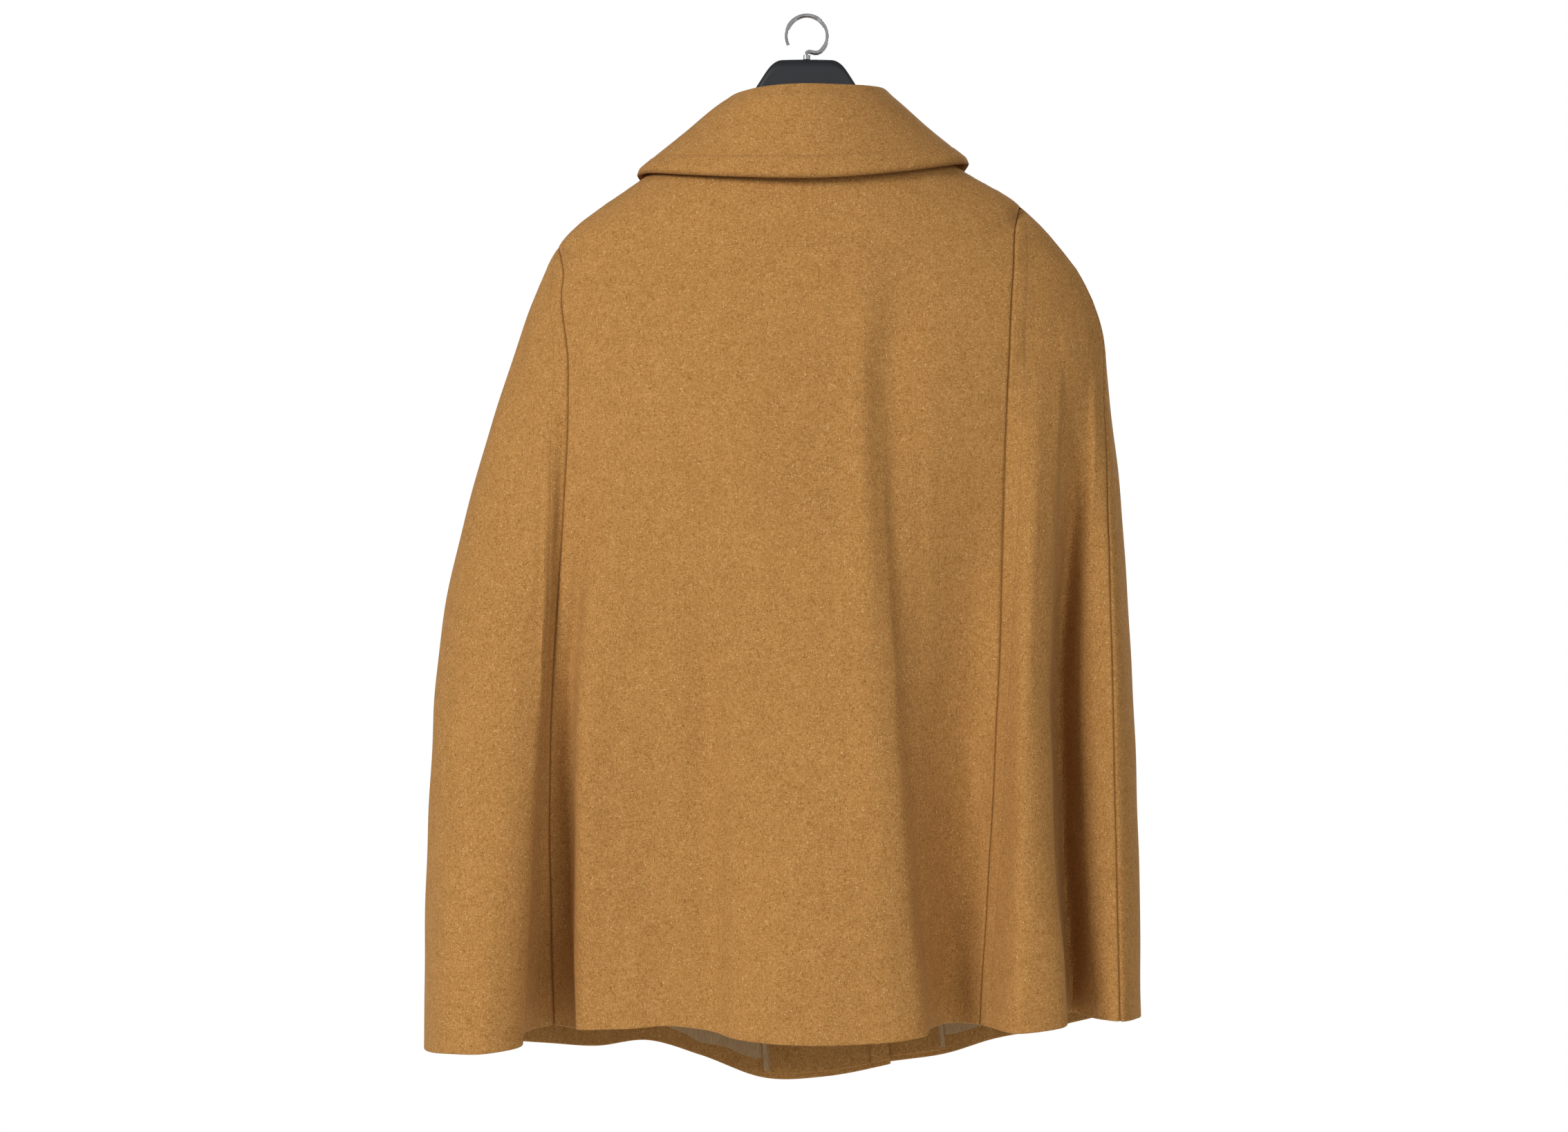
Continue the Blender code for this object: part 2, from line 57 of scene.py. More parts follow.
# Upper rings, in mm: an elliptical ring through its left, back, right and front points.
Ring = namedtuple(
    "Ring", "name left_x left_z right_x right_z mid_x back_y back_z front_y front_z"
)
BODY_RINGS = (
    Ring("neck", -84, -102, 76, -96, -4, -60, -98, 58, -150),
    Ring("collar", -151, -147, 142, -139, -6, -76, -153, 74, -208),
    Ring("shoulder", -218, -200, 186, -165, -10, -85, -208, 84, -268),
    Ring("tip", -237, -242, 240, -228, -10, -91, -258, 89, -318),
    Ring("yoke", -261, -304, 262, -296, -10, -96, -320, 93, -370),
)
COLLAR_RINGS = (
    Ring("base", -78.5, -102.3, 70.5, -96.3, -4, -54, -98.2, 52, -147.3),
    Ring("stand", -60, -84, 61, -80, 0, -50, -82, 45, -136),
    Ring("fold", -64, -69.5, 67, -63.5, 1, -57, -67, 51, -124),
    Ring("turn", -72, -74, 76, -71, 0, -64.5, -75, 58, -130),
    Ring("fall", -111, -104, 108, -99, 0, -75, -106, 80, -170),
    Ring("edge", -150, -136.5, 143, -127, -5, -91, -150.5, 98, -218),
)

# Fold lines, in order round the cape from the wearer's left front edge to the right one.
# A turn is the angle round a ring in degrees: 0 at the centre back, negative on the wearer's left.
# top: neck to shoulder ring. tip and yoke: those rings. mid and hem: the place in mm.
Line = namedtuple("Line", "name top tip yoke mid_x mid_y hem_x hem_y hem_z")
LINES = (
    Line("left_front_edge", -205, -203, -200, 48, 71, 76, 66, -928),
    Line("left_overlap", -182, -182, -182, -6, 73, 14, 68, -940),
    Line("left_facing_edge", -166, -167, -168, -52, 75, -36, 68, -941),
    Line("front_left_ridge", -134, -150, -154, -100, 88, -95, 96, -925),
    Line("front_left_crest", -126, -138, -143, -144, 100, -145, 122, -916),
    Line("front_left_valley", -118, -127, -131, -185, 84, -190, 88, -915),
    Line("front_left_second", -109, -116, -119, -232, 82, -240, 98, -914),
    Line("left_front_side", -100, -105, -108, -288, 54, -296, 70, -906),
    Line("seam_b_left", -90.1, -94, -97, -324, 20, -324, 25, -900),
    Line("left_side", -90.05, -88, -90, -330, -10, -331, -20, -897),
    Line("left_tube_outside", -90, -84, -83, -321, -46, -327, -62, -895),
    Line("left_tube_crest", -89.95, -79, -75, -294, -76, -306, -100, -891),
    Line("left_tube_front", -89.9, -74, -67, -254, -86, -268, -112, -889),
    Line("left_tube_edge", -89.85, -69, -59, -231, -79, -242, -90, -887),
    Line("left_tube_back", -89.8, -66, -55, -225, -70, -247, -34, -886),
    Line("seam_a_left", -89.7, -63, -51, -219, -57, -223, 8, -885),
    Line("left_valley", -72, -54, -44, -208, -50, -208, -8, -884),
    Line("left_inner_ridge", -60, -47, -39, -191, -73, -194, -56, -878),
    Line("back_left", -46, -36, -31, -154, -78, -153, -71, -875),
    Line("back_left_rise", -34, -27, -24, -112, -79, -115, -72, -872),
    Line("bulge_left", -21, -18, -16, -66, -94, -66, -100, -878),
    Line("bulge_mid_left", -8, -7, -7, -18, -109, -20, -123, -880),
    Line("bulge_mid", 5, 4, 4, 28, -115, 35, -129, -879),
    Line("bulge_right", 16, 13, 11, 57, -117, 78, -128, -876),
    Line("ridge", 25, 17, 14, 72, -112, 97, -118, -874),
    Line("ridge_back", 37, 25, 20, 87, -96, 105, -78, -874),
    Line("right_valley", 60, 40, 35, 144, -63, 132, -45, -874),
    Line("seam_a_right", 89.7, 48, 42, 161, -72, 147, -60, -873),
    Line("right_crest", 89.8, 54, 49, 185, -99, 179, -114, -872),
    Line("right_edge", 89.85, 60, 55, 203, -84, 214, -104, -869),
    Line("right_edge_back", 89.9, 65, 59, 210, -44, 222, -60, -868),
    Line("right_inner", 89.95, 70, 64, 221, -14, 231, -22, -868),
    Line("right_inner_side", 90, 77, 72, 238, -44, 247, -52, -869),
    Line("seam_b_right", 90.1, 84, 82, 262, -60, 267, -68, -869),
    Line("right_side", 94, 91, 92, 282, -28, 287, -38, -871),
    Line("right_side_front", 100, 103, 103, 276, 34, 288, 22, -877),
    Line("front_right_crest", 109, 115, 116, 240, 66, 262, 70, -886),
    Line("front_right_valley", 118, 127, 128, 198, 72, 215, 74, -898),
    Line("front_right_ridge", 128, 139, 141, 158, 92, 172, 100, -911),
    Line("right_facing_edge", 166, 164, 163, 98, 84, 125, 84, -922),
    Line("right_overlap", 182, 182, 182, 48, 78, 76, 73, -927),
    Line("right_front_edge", 205, 203, 200, -6, 80, 14, 75, -936),
)

# Lines of the front edges, whose distance across in mm sets their turns on the rings
FrontLine = namedtuple("FrontLine", "name neck_x yoke_x")
FRONT_LINES = (
    FrontLine("left_front_edge", 32, 36),
    FrontLine("left_overlap", -30, -22),
    FrontLine("left_facing_edge", -52, -66),
    FrontLine("right_facing_edge", 52, 80),
    FrontLine("right_overlap", 32, 36),
    FrontLine("right_front_edge", -30, -22),
)
RING_LEVELS = (0.0, 0.08, 0.17, 0.225, 0.30)
LEVELS = (0.0, 0.08, 0.12, 0.15, 0.165, 0.17, 0.188, 0.207, 0.225, 0.30, 0.655, 1.0)
MID_SHARE = 0.52
GORE_LEVEL = 0.174
FACING_END = 0.994
LINING_END = 0.978
GORES = (("seam_b_left", "seam_a_left"), ("seam_a_right", "seam_b_right"))
COLLAR_LEVELS = (0.0, 0.14, 0.26, 0.34, 0.66, 1.0)
COLLAR_END_TURN = 167.0

# Soft folds that the big ones carry, each along a line of the cape: mm from that line at its top and
# its foot (towards the wearer's right), levels, height in mm (a trough is below 0), and width in mm.
Crease = namedtuple("Crease", "name line top_off low_off top low height width")
CREASES = (
    Crease("valley_shoulder", "left_inner_ridge", 4, 2, 0.50, 1.02, 3.0, 16),
    Crease("back_band", "back_left_rise", 28, 34, 0.44, 1.06, -8.0, 18),
    Crease("back_band_ridge", "back_left_rise", 56, 62, 0.46, 1.06, 2.0, 16),
    Crease("back_band_left", "back_left_rise", 0, 4, 0.46, 1.06, 2.4, 20),
    Crease("back_soft_left", "back_left", 6, 10, 0.30, 0.80, -1.6, 22),
    Crease("bulge_start", "bulge_right", 4, 2, 0.12, 0.64, 4.6, 17),
    Crease("bulge_hollow", "ridge", 14, 26, 0.13, 0.70, -5.6, 18),
    Crease("bulge_left_soft", "bulge_left", 0, 8, 0.34, 0.92, -1.5, 24),
    Crease("right_seam_hollow", "right_valley", 18, 10, 0.34, 0.9, -1.4, 14),
    Crease("side_drag_left", "left_tube_crest", 8, -6, 0.26, 0.72, -1.6, 20),
    Crease("side_slack_left", "left_side", 6, 6, 0.22, 0.86, -4.5, 48),
    Crease("side_drag_right", "right_crest", 4, 0, 0.24, 0.62, 1.6, 14),
    Crease("front_left_drag", "front_left_ridge", -8, 6, 0.24, 0.8, -2.2, 18),
    Crease("front_left_soft", "front_left_valley", 10, 4, 0.4, 1.02, -2.4, 17),
    Crease("front_left_line", "left_front_side", -12, -4, 0.3, 0.9, 1.8, 15),
    Crease("front_right_drag", "front_right_ridge", 8, -4, 0.22, 0.78, 2.2, 17),
    Crease("front_right_soft", "front_right_crest", 14, 4, 0.36, 1.02, -2.6, 17),
    Crease("front_right_line", "right_facing_edge", -22, -16, 0.45, 0.98, -1.6, 15),
)


def smooth_between(places, values, at, monotone=False):
    """A cubic through the values given at the places, read at other places along the first axis."""
    places = np.asarray(places, float)
    flat = np.asarray(values, float).reshape(len(places), -1)
    span = np.diff(places)[:, None]
    slope = np.diff(flat, axis=0) / span
    tangent = np.empty_like(flat)
    tangent[1:-1] = (slope[:-1] * span[1:] + slope[1:] * span[:-1]) / (span[:-1] + span[1:])
    if monotone:
        least = 2 * np.minimum(np.abs(slope[:-1]), np.abs(slope[1:]))
        limited = np.sign(tangent[1:-1]) * np.minimum(np.abs(tangent[1:-1]), least)
        tangent[1:-1] = np.where(slope[:-1] * slope[1:] > 0, limited, 0)
    tangent[0] = 1.5 * slope[0] - 0.5 * tangent[1]
    tangent[-1] = 1.5 * slope[-1] - 0.5 * tangent[-2]
    at = np.asarray(at, float)
    i = np.clip(np.searchsorted(places, at, side="right") - 1, 0, len(places) - 2)
    t = ((at - places[i]) / span[i, 0])[:, None]
    read = (1 + 2 * t) * (1 - t) ** 2 * flat[i] + t * (1 - t) ** 2 * span[i] * tangent[i]
    read += t * t * (3 - 2 * t) * flat[i + 1] + t * t * (t - 1) * span[i] * tangent[i + 1]
    return read.reshape((len(at),) + np.shape(values)[1:])


def ring_points(ring, turns, step=0.0):
    """Points of a ring at these turns. Past 130 degrees the right side moves out and the left in."""
    turns = np.asarray(turns, float)
    across = np.sin(np.radians(turns))
    along = np.cos(np.radians(turns))
    side_x = np.where(across >= 0, ring.right_x, ring.left_x)
    side_z = np.where(across >= 0, ring.right_z, ring.left_z)
    end_y = np.where(along > 0, ring.back_y, ring.front_y)
    end_z = np.where(along > 0, ring.back_z, ring.front_z)
    share = np.clip((np.abs(turns) - 130) / 35, 0, 1)
    moved = np.sign(turns) * step / 2 * share * share * (3 - 2 * share)
    x = ring.mid_x + (side_x - ring.mid_x) * np.abs(across)
    y = end_y * np.abs(along) + moved
    z = side_z * across**2 + end_z * along**2
    return np.stack([x, y, z], axis=-1)


def front_turn(ring, x, side):
    """The turn at which a ring's front is this far across. The side is -1 left or 1 right."""
    across = x - ring.mid_x
    half = ring.right_x - ring.mid_x if across > 0 else ring.mid_x - ring.left_x
    return side * (180 - side * math.degrees(math.asin(across / half)))


def all_rings():
    """A ring at each level down to the yoke. More lie near the shoulder, where the side seams start."""
    sizes = [ring[1:] for ring in BODY_RINGS]
    read = smooth_between(RING_LEVELS, sizes, LEVELS[:-2], monotone=True)
    return [Ring("level", *row) for row in read]


RINGS = all_rings()


def turn_between(first, last, share):
    """The turn this share of the way from one turn to another, moving evenly across the cape."""
    start = min(abs(first), 90) if abs(last) < 90 else abs(first)
    across = math.sin(math.radians(start)) * (1 - share) + math.sin(math.radians(abs(last))) * share
    if abs(last) < 90:
        across -= 0.18 * share * (1 - share) * math.cos(math.radians(last))
    size = math.degrees(math.asin(across))
    return math.copysign(size if abs(last) < 90 else 180 - size, last)


def ring_turns():
    """The turn of each line on each ring, lines x rings."""
    turns = {}
    shoulder, tip, yoke = RING_LEVELS[2:]
    for line in LINES:
        row = []
        for level in LEVELS[: len(RINGS) - 1]:
            share = max(0, (level - shoulder) / (tip - shoulder))
            row.append(turn_between(line.top, line.tip, share) if share else line.top)
        turns[line.name] = row + [line.yoke]
    for line in FRONT_LINES:
        side = -1 if line.name.startswith("left") else 1
        for i, ring in enumerate(RINGS):
            share = LEVELS[i] / yoke
            x = line.neck_x + (line.yoke_x - line.neck_x) * share
            turns[line.name][i] = front_turn(ring, x, side)
    return np.array([turns[line.name] for line in LINES])


RING_TURNS = ring_turns()
LOW_COURSE = np.array([line[4:] for line in LINES], float)
MIDDLE_COURSE = (LOW_COURSE[:, 0:2] + LOW_COURSE[:, 2:4]) / 2
LINE_PLACES = np.concatenate(
    [[0], np.cumsum(np.linalg.norm(np.diff(MIDDLE_COURSE, axis=0), axis=1))]
)
PLACE = dict(zip([line.name for line in LINES], LINE_PLACES))


def unit(vectors):
    return vectors / np.maximum(np.linalg.norm(vectors, axis=-1, keepdims=True), 1e-12)


def ease(low, high, at):
    """0 below low and 1 above high, smooth between them."""
    t = np.clip((at - low) / (high - low), 0, 1)
    return t * t * (3 - 2 * t)


def bell(distance, width):
    return np.exp(-((distance / width) ** 2))


def cape_points(places, levels):
    """Points of the cape's outer face, levels x places x 3, in mm."""
    turns = smooth_between(LINE_PLACES, RING_TURNS, places, monotone=True)
    low = smooth_between(LINE_PLACES, LOW_COURSE, places)
    sections = np.zeros((len(LEVELS), len(places), 3))
    for i, ring in enumerate(RINGS):
        sections[i] = ring_points(ring, turns[:, i], OVERLAP_STEP)
    yoke_z = sections[len(RINGS) - 1, :, 2]
    sections[-2, :, :2] = low[:, :2]
    sections[-2, :, 2] = yoke_z + MID_SHARE * (low[:, 4] - yoke_z)
    sections[-1] = low[:, 2:]
    return smooth_between(LEVELS, sections, levels, monotone=True)


def plain_normals(low, high, levels):
    above, below = np.maximum(levels - 0.002, 0), np.minimum(levels + 0.002, 1)
    along = cape_points(high, levels) - cape_points(low, levels)
    middle = (low + high) / 2
    down = cape_points(middle, below) - cape_points(middle, above)
    return unit(np.cross(down, along))


def surface_normals(places, levels):
    """Outward normals. Over each side panel's apex, where its lines meet, one normal serves them all."""
    levels = np.asarray(levels)
    low = np.maximum(places - 0.5, 0)
    high = np.minimum(places + 0.5, LINE_PLACES[-1])
    normals = plain_normals(low, high, levels)
    wide_low, wide_high = low.copy(), high.copy()
    for first, last in GORES:
        inside = (places > PLACE[first] - 9) & (places < PLACE[last] + 9)
        wide_low[inside], wide_high[inside] = PLACE[first] - 9, PLACE[last] + 9
    wide = plain_normals(wide_low, wide_high, levels)
    share = 1 - ease(GORE_LEVEL + 0.01, GORE_LEVEL + 0.06, levels)[:, None, None]
    return unit(normals * (1 - share) + wide * share)


RANDOM = np.random.default_rng(7)
WAVES = RANDOM.normal(size=(14, 3))
WAVES = WAVES / np.linalg.norm(WAVES, axis=1, keepdims=True)
WAVE_LENGTHS = RANDOM.uniform(34, 120, 14)
WAVE_STARTS = RANDOM.uniform(0, 2 * math.pi, 14)


def ripple(points):
    """The slight unevenness of hanging wool, in mm, the same on both sides of a seam."""
    total = np.zeros(points.shape[:-1])
    for way, length, start in zip(WAVES, WAVE_LENGTHS, WAVE_STARTS):
        total += np.cos(points @ way * (2 * math.pi / length) + start) * length / 90
    return 0.16 * total


def crease_height(places, levels):
    """Height of all the soft folds at these places and levels, in mm."""
    total = np.zeros(np.broadcast(places, levels).shape)
    for crease in CREASES:
        share = np.clip((levels - crease.top) / (crease.low - crease.top), 0, 1)
        centre = PLACE[crease.line] + crease.top_off + (crease.low_off - crease.top_off) * share
        window = ease(0, 0.4, share) * (1 - ease(0.55, 1, share) * (crease.low <= 1))
        total += crease.height * window * bell(places - centre, crease.width)
    return total


class Patch:
    """A stretch of the cape between two lines, its columns set close together beside its ends."""

    def __init__(self, ends, levels, near, spacing, samples=900):
        levels = np.asarray(levels)
        low, high = (PLACE[e] if isinstance(e, str) else e for e in ends)
        places = np.linspace(low, high, samples)
        fine = cape_points(places, levels)
        normals = surface_normals(places, levels)
        arc = np.cumsum(np.linalg.norm(np.diff(fine, axis=1), axis=-1), axis=1)
        arc = np.concatenate([np.zeros((len(levels), 1)), arc], axis=1)
        near = np.asarray(near, float)
        middle = int(math.ceil((arc[:, -1].max() - 2 * near[-1]) / spacing))
        rows = []
        for row in range(len(levels)):
            whole = arc[row, -1]
            scale = min(1.0, whole / (2.3 * near[-1]))
            left, right = near * scale, whole - near[::-1] * scale
            at = np.concatenate([left, np.linspace(left[-1], right[0], middle + 2)[1:-1], right])
            stacked = [np.interp(at, arc[row], fine[row, :, k]) for k in range(3)]
            stacked += [np.interp(at, arc[row], normals[row, :, k]) for k in range(3)]
            rows.append(np.stack(stacked + [np.interp(at, arc[row], places), at, whole - at], -1))
        rows = np.array(rows)
        self.points, self.normals = rows[..., 0:3], unit(rows[..., 3:6])
        self.places, self.left, self.right = rows[..., 6], rows[..., 7], rows[..., 8]
        self.levels = np.repeat(levels[:, None], rows.shape[1], axis=1)
        self.soft = ripple(self.points) + crease_height(self.places, self.levels)


def down_levels(top, bottom, step_mm=5.0):
    """Levels from top to bottom, about this far apart, closer together at the bottom."""
    many = int((bottom - top) * CLOTH_LENGTH / step_mm)
    levels = np.linspace(top, bottom, many + 1)
    last = bottom - np.array([3.2, 1.8, 0.9, 0.35]) / CLOTH_LENGTH
    return np.concatenate([levels[:-1], last, [bottom]])


def new_object(name, points, faces, material, painted_shade=None, sharp=50):
    mesh = bpy.data.meshes.new(name)
    mesh.from_pydata((np.asarray(points) * MM).tolist(), [], faces)
    mesh.shade_smooth()
    mesh.set_sharp_from_angle(angle=math.radians(sharp))
    if painted_shade is not None:
        made = mesh.attributes.new("painted_shade", "FLOAT", "POINT")
        made.data.foreach_set("value", np.asarray(painted_shade, np.float32))
    mesh.materials.append(material)
    made = bpy.data.objects.new(name, mesh)
    bpy.context.scene.collection.objects.link(made)
    return made


def ring_index(rings, sides):
    """The numbers of a stack of rings' points, and of the point beside each on its ring."""
    index = np.arange(rings * sides).reshape(rings, sides)
    return index, np.roll(index, -1, axis=1)


def quads(index, after):
    return np.stack([index[:-1], after[:-1], after[1:], index[1:]], -1).reshape(-1, 4).tolist()


def shell(name, outer, inner, material, painted_shade):
    """A closed sheet of cloth between two grids, its lower edge rounded. Grids are rows x columns x 3."""
    rows, columns = outer.shape[:2]
    middle, half = (outer[-1] + inner[-1]) / 2, (outer[-1] - inner[-1]) / 2
    down = unit(outer[-1] - outer[-2]) * np.linalg.norm(half, axis=-1, keepdims=True)
    turns = np.radians([30, 60, 90, 120, 150])
    arc = [middle + half * math.cos(t) + down * math.sin(t) for t in turns]
    grid = np.concatenate([outer, np.array(arc), inner[::-1]])
    total = len(grid)
    index = np.arange(total * columns).reshape(total, columns)
    after = np.roll(index, -1, axis=0)
    faces = np.stack([index[:, :-1], after[:, :-1], after[:, 1:], index[:, 1:]], -1)
    faces = faces.reshape(-1, 4).tolist()
    for column, turned in ((0, False), (-1, True)):
        out, back = index[:rows, column], index[::-1][:rows, column]
        for i in range(rows - 1):
            quad = [out[i + 1], out[i], back[i], back[i + 1]]
            faces.append(quad[::-1] if turned else quad)
        ring = [out[-1], back[-1]] + index[rows : rows + len(arc), column][::-1].tolist()
        faces.append(ring[::-1] if turned else ring)
    edge = np.repeat(painted_shade[-1:], len(arc), axis=0)
    painted_shade = np.concatenate([painted_shade, edge, painted_shade[::-1]]).reshape(-1)
    return new_object(name, grid.reshape(-1, 3), faces, material, painted_shade)


def line_on(patch, surface, distance, from_left=True):
    """Points and normals down a grid, this far in from one of its side ends, where it is wide enough."""
    away = patch.left if from_left else patch.right
    order = slice(None) if from_left else slice(None, None, -1)
    points, normals = [], []
    for row in range(len(surface)):
        whole = patch.left[row, -1]
        if whole < distance * 1.6 + 2:
            continue
        at = away[row, order]
        points.append([np.interp(distance, at, surface[row, order, k]) for k in range(3)])
        normals.append([np.interp(distance, at, patch.normals[row, order, k]) for k in range(3)])
    return np.array(points), unit(np.array(normals))


def stitches(name, runs, material, pitch=2.8, length=1.75, radius=0.3, hole=0.55):
    """Rows of thread stitches with the needle's holes between them. A run is points and normals."""
    points, faces, holes = [], [], []
    stations = ((-0.5, 0.45), (-0.28, 1.0), (0.28, 1.0), (0.5, 0.45))
    sides = 6
    turns = np.radians(np.arange(sides) * 360 / sides)

    def at(arc, rows, place):
        return np.array([np.interp(place, arc, rows[:, k]) for k in range(3)])

    for path, normals in runs:
        arc = np.concatenate([[0], np.cumsum(np.linalg.norm(np.diff(path, axis=0), axis=1))])
        for start in np.arange(pitch, arc[-1] - pitch, pitch):
            ends = [at(arc, path, start - length / 2), at(arc, path, start + length / 2)]
            normal = unit(at(arc, normals, start))
            along = unit(ends[1] - ends[0])
            across = unit(np.cross(along, normal))
            first = len(points)
            for share, size in stations:
                middle = (ends[0] + ends[1]) / 2 + (ends[1] - ends[0]) * share
                middle = middle + normal * radius * 0.1
                for turn in turns:
                    spread = across * math.cos(turn) * 1.15 + normal * math.sin(turn) * 0.8
                    points.append(middle + spread * radius * size)
            for ring in range(len(stations) - 1):
                for side in range(sides):
                    a, b = first + ring * sides + side, first + ring * sides + (side + 1) % sides
                    faces.append((a, b, b + sides, a + sides))
            faces.append(tuple(first + s for s in range(sides))[::-1])
            faces.append(tuple(first + (len(stations) - 1) * sides + s for s in range(sides)))
            # The needle's hole is a small pit, coloured dark as painted shade inside it.
            first = len(points)
            middle = at(arc, path, start + pitch / 2)
            for turn in turns:
                spread = across * math.sin(turn) * 0.85 + along * math.cos(turn)
                points.append(middle + spread * hole - normal * 0.25)
            points.append(middle + normal * 0.16)
            for side in range(sides):
                holes.append(len(faces))
                faces.append((first + side, first + (side + 1) % sides, first + sides))
    made = new_object(name, points, faces, material, sharp=80)
    made.data.materials.append(HOLE_SHADE)
    for index in holes:
        made.data.polygons[index].material_index = 1
    return made


# ---------------------------------------------------------------- materials


def new_material(name, **fixed):
    """A material, its node tree and its shader. Fixed values go to the shader's sockets of that name."""
    made = bpy.data.materials.new(name)
    made.use_nodes = True
    shader = made.node_tree.nodes["Principled BSDF"]
    for socket, value in fixed.items():
        shader.inputs[socket.replace("_", " ")].default_value = value
    return made, made.node_tree, shader


def grey(value):
    return (value, value, value)


def noise(tree, scale, detail=2.0, roughness=0.5, stretch=(1, 1, 1), turn=(0, 0, 0)):
    """A noise texture over the object's own metres, as its factor socket."""
    where = tree.nodes.new("ShaderNodeTexCoord")
    mapping = tree.nodes.new("ShaderNodeMapping")
    mapping.inputs["Scale"].default_value = stretch
    mapping.inputs["Rotation"].default_value = turn
    made = tree.nodes.new("ShaderNodeTexNoise")
    made.inputs["Scale"].default_value = scale
    made.inputs["Detail"].default_value = detail
    made.inputs["Roughness"].default_value = roughness
    tree.links.new(where.outputs["Object"], mapping.inputs["Vector"])
    tree.links.new(mapping.outputs["Vector"], made.inputs["Vector"])
    return made.outputs["Fac"]


def ramp(tree, value, stops):
    made = tree.nodes.new("ShaderNodeValToRGB")
    elements = made.color_ramp.elements
    while len(elements) < len(stops):
        elements.new(0.5)
    for element, (place, colour) in zip(elements, stops):
        element.position = place
        element.color = (*colour, 1)
    tree.links.new(value, made.inputs["Fac"])
    return made.outputs["Color"]


def mix(tree, kind, share, first, second):
    made = tree.nodes.new("ShaderNodeMix")
    made.data_type = "RGBA"
    made.blend_type = kind
    for name, value in (("Factor", share), ("A", first), ("B", second)):
        socket = [s for s in made.inputs if s.name == name and s.enabled][0]
        if isinstance(value, (int, float)):
            socket.default_value = value
        elif isinstance(value, tuple):
            socket.default_value = (*value, 1)
        else:
            tree.links.new(value, socket)
    return [s for s in made.outputs if s.enabled][0]


def maths(tree, kind, first, second):
    made = tree.nodes.new("ShaderNodeMath")
    made.operation = kind
    for socket, value in zip(made.inputs, (first, second)):
        if isinstance(value, (int, float)):
            socket.default_value = value
        else:
            tree.links.new(value, socket)
    return made.outputs["Value"]


def attribute(tree, name):
    made = tree.nodes.new("ShaderNodeAttribute")
    made.attribute_name = name
    return made.outputs["Fac"]


def bump(tree, shader, height, strength, distance):
    made = tree.nodes.new("ShaderNodeBump")
    made.inputs["Strength"].default_value = strength
    made.inputs["Distance"].default_value = distance
    tree.links.new(height, made.inputs["Height"])
    tree.links.new(made.outputs["Normal"], shader.inputs["Normal"])


def rough_between(tree, shader, value, first, last):
    """Sets the roughness from a noise, running from the first to the last as it rises."""
    made = ramp(tree, value, ((0.3, grey(first)), (0.7, grey(last))))
    tree.links.new(made, shader.inputs["Roughness"])


WOOL_MID = (0.352, 0.166, 0.0445)
WOOL_DARK = (0.215, 0.091, 0.020)
WOOL_LIGHT = (0.50, 0.275, 0.098)
WOOL_TAN = (0.405, 0.203, 0.062)


def wool_material(name):
    """Milled melange wool: fibres of four shades, a soft nap, and painted shade that darkens the cloth in the
    seams and stitch grooves and at the collar's rolled edge.
    """
    made, tree, shader = new_material(
        name, Roughness=0.95, Specular_IOR_Level=0.06, Sheen_Weight=0.07, Sheen_Roughness=0.5,
        Sheen_Tint=(1.0, 0.74, 0.45, 1),
    )
    grain = noise(tree, 1100, 3, 0.7)
    up = noise(tree, 760, 2, 0.6, stretch=(1, 1, 0.4), turn=(0.12, 0.2, 0))
    over = noise(tree, 820, 2, 0.6, stretch=(0.4, 0.5, 1), turn=(0, 0.3, 0.1))
    fleck = noise(tree, 760, 1, 0.4)
    cloud = noise(tree, 85, 3, 0.6)
    broad = noise(tree, 9, 2, 0.5)
    fibres = maths(tree, "MULTIPLY", maths(tree, "ADD", up, over), 0.5)
    fibres = maths(tree, "MULTIPLY", maths(tree, "ADD", fibres, grain), 0.5)
    stops = ((0.38, WOOL_DARK), (0.46, WOOL_MID), (0.53, WOOL_TAN), (0.63, WOOL_LIGHT))
    colour = ramp(tree, fibres, stops)
    tint = ramp(tree, cloud, ((0.35, (0.95, 0.945, 0.93)), (0.65, (1.04, 1.045, 1.06))))
    colour = mix(tree, "MULTIPLY", 1.0, colour, tint)
    bright = ramp(tree, fleck, ((0.67, grey(0)), (0.74, grey(0.8))))
    colour = mix(tree, "MIX", bright, colour, (0.62, 0.42, 0.20))
    shades = ramp(tree, broad, ((0.3, grey(0.975)), (0.7, grey(1.02))))
    colour = mix(tree, "MULTIPLY", 1.0, colour, shades)
    # Painted shade: the cloth is darkened where the mesh's painted-shade mask marks seam grooves, stitch
    # grooves and the collar's rolled edge.
    colour = mix(tree, "MIX", attribute(tree, "painted_shade"), colour, (0.11, 0.042, 0.009))
    tree.links.new(colour, shader.inputs["Base Color"])
    height = maths(tree, "ADD", fibres, maths(tree, "MULTIPLY", cloud, 0.3))
    bump(tree, shader, height, 0.35, 0.0009)
    return made


def satin_material(name):
    """Tan satin with a fine twill line and faint slubs."""
    made, tree, shader = new_material(
        name, Roughness=0.42, Specular_IOR_Level=0.45, Sheen_Weight=0.25, Sheen_Roughness=0.35,
        Sheen_Tint=(1.0, 0.9, 0.74, 1),
    )
    thread = noise(tree, 1500, 2, 0.5, stretch=(1, 1, 0.12), turn=(0, 0.6, 0))
    slub = noise(tree, 90, 3, 0.6, stretch=(1, 1, 0.25))
    colour = ramp(tree, thread, ((0.35, (0.33, 0.195, 0.075)), (0.65, (0.45, 0.285, 0.125))))
    shades = ramp(tree, slub, ((0.35, grey(0.92)), (0.65, (1.07, 1.06, 1.04))))
    colour = mix(tree, "MULTIPLY", 1.0, colour, shades)
    # Painted shade: the satin is darkened where the mesh's painted-shade mask marks its seam groove.
    colour = mix(tree, "MIX", attribute(tree, "painted_shade"), colour, (0.12, 0.06, 0.02))
    tree.links.new(colour, shader.inputs["Base Color"])
    bump(tree, shader, maths(tree, "ADD", thread, slub), 0.12, 0.0004)
    return made


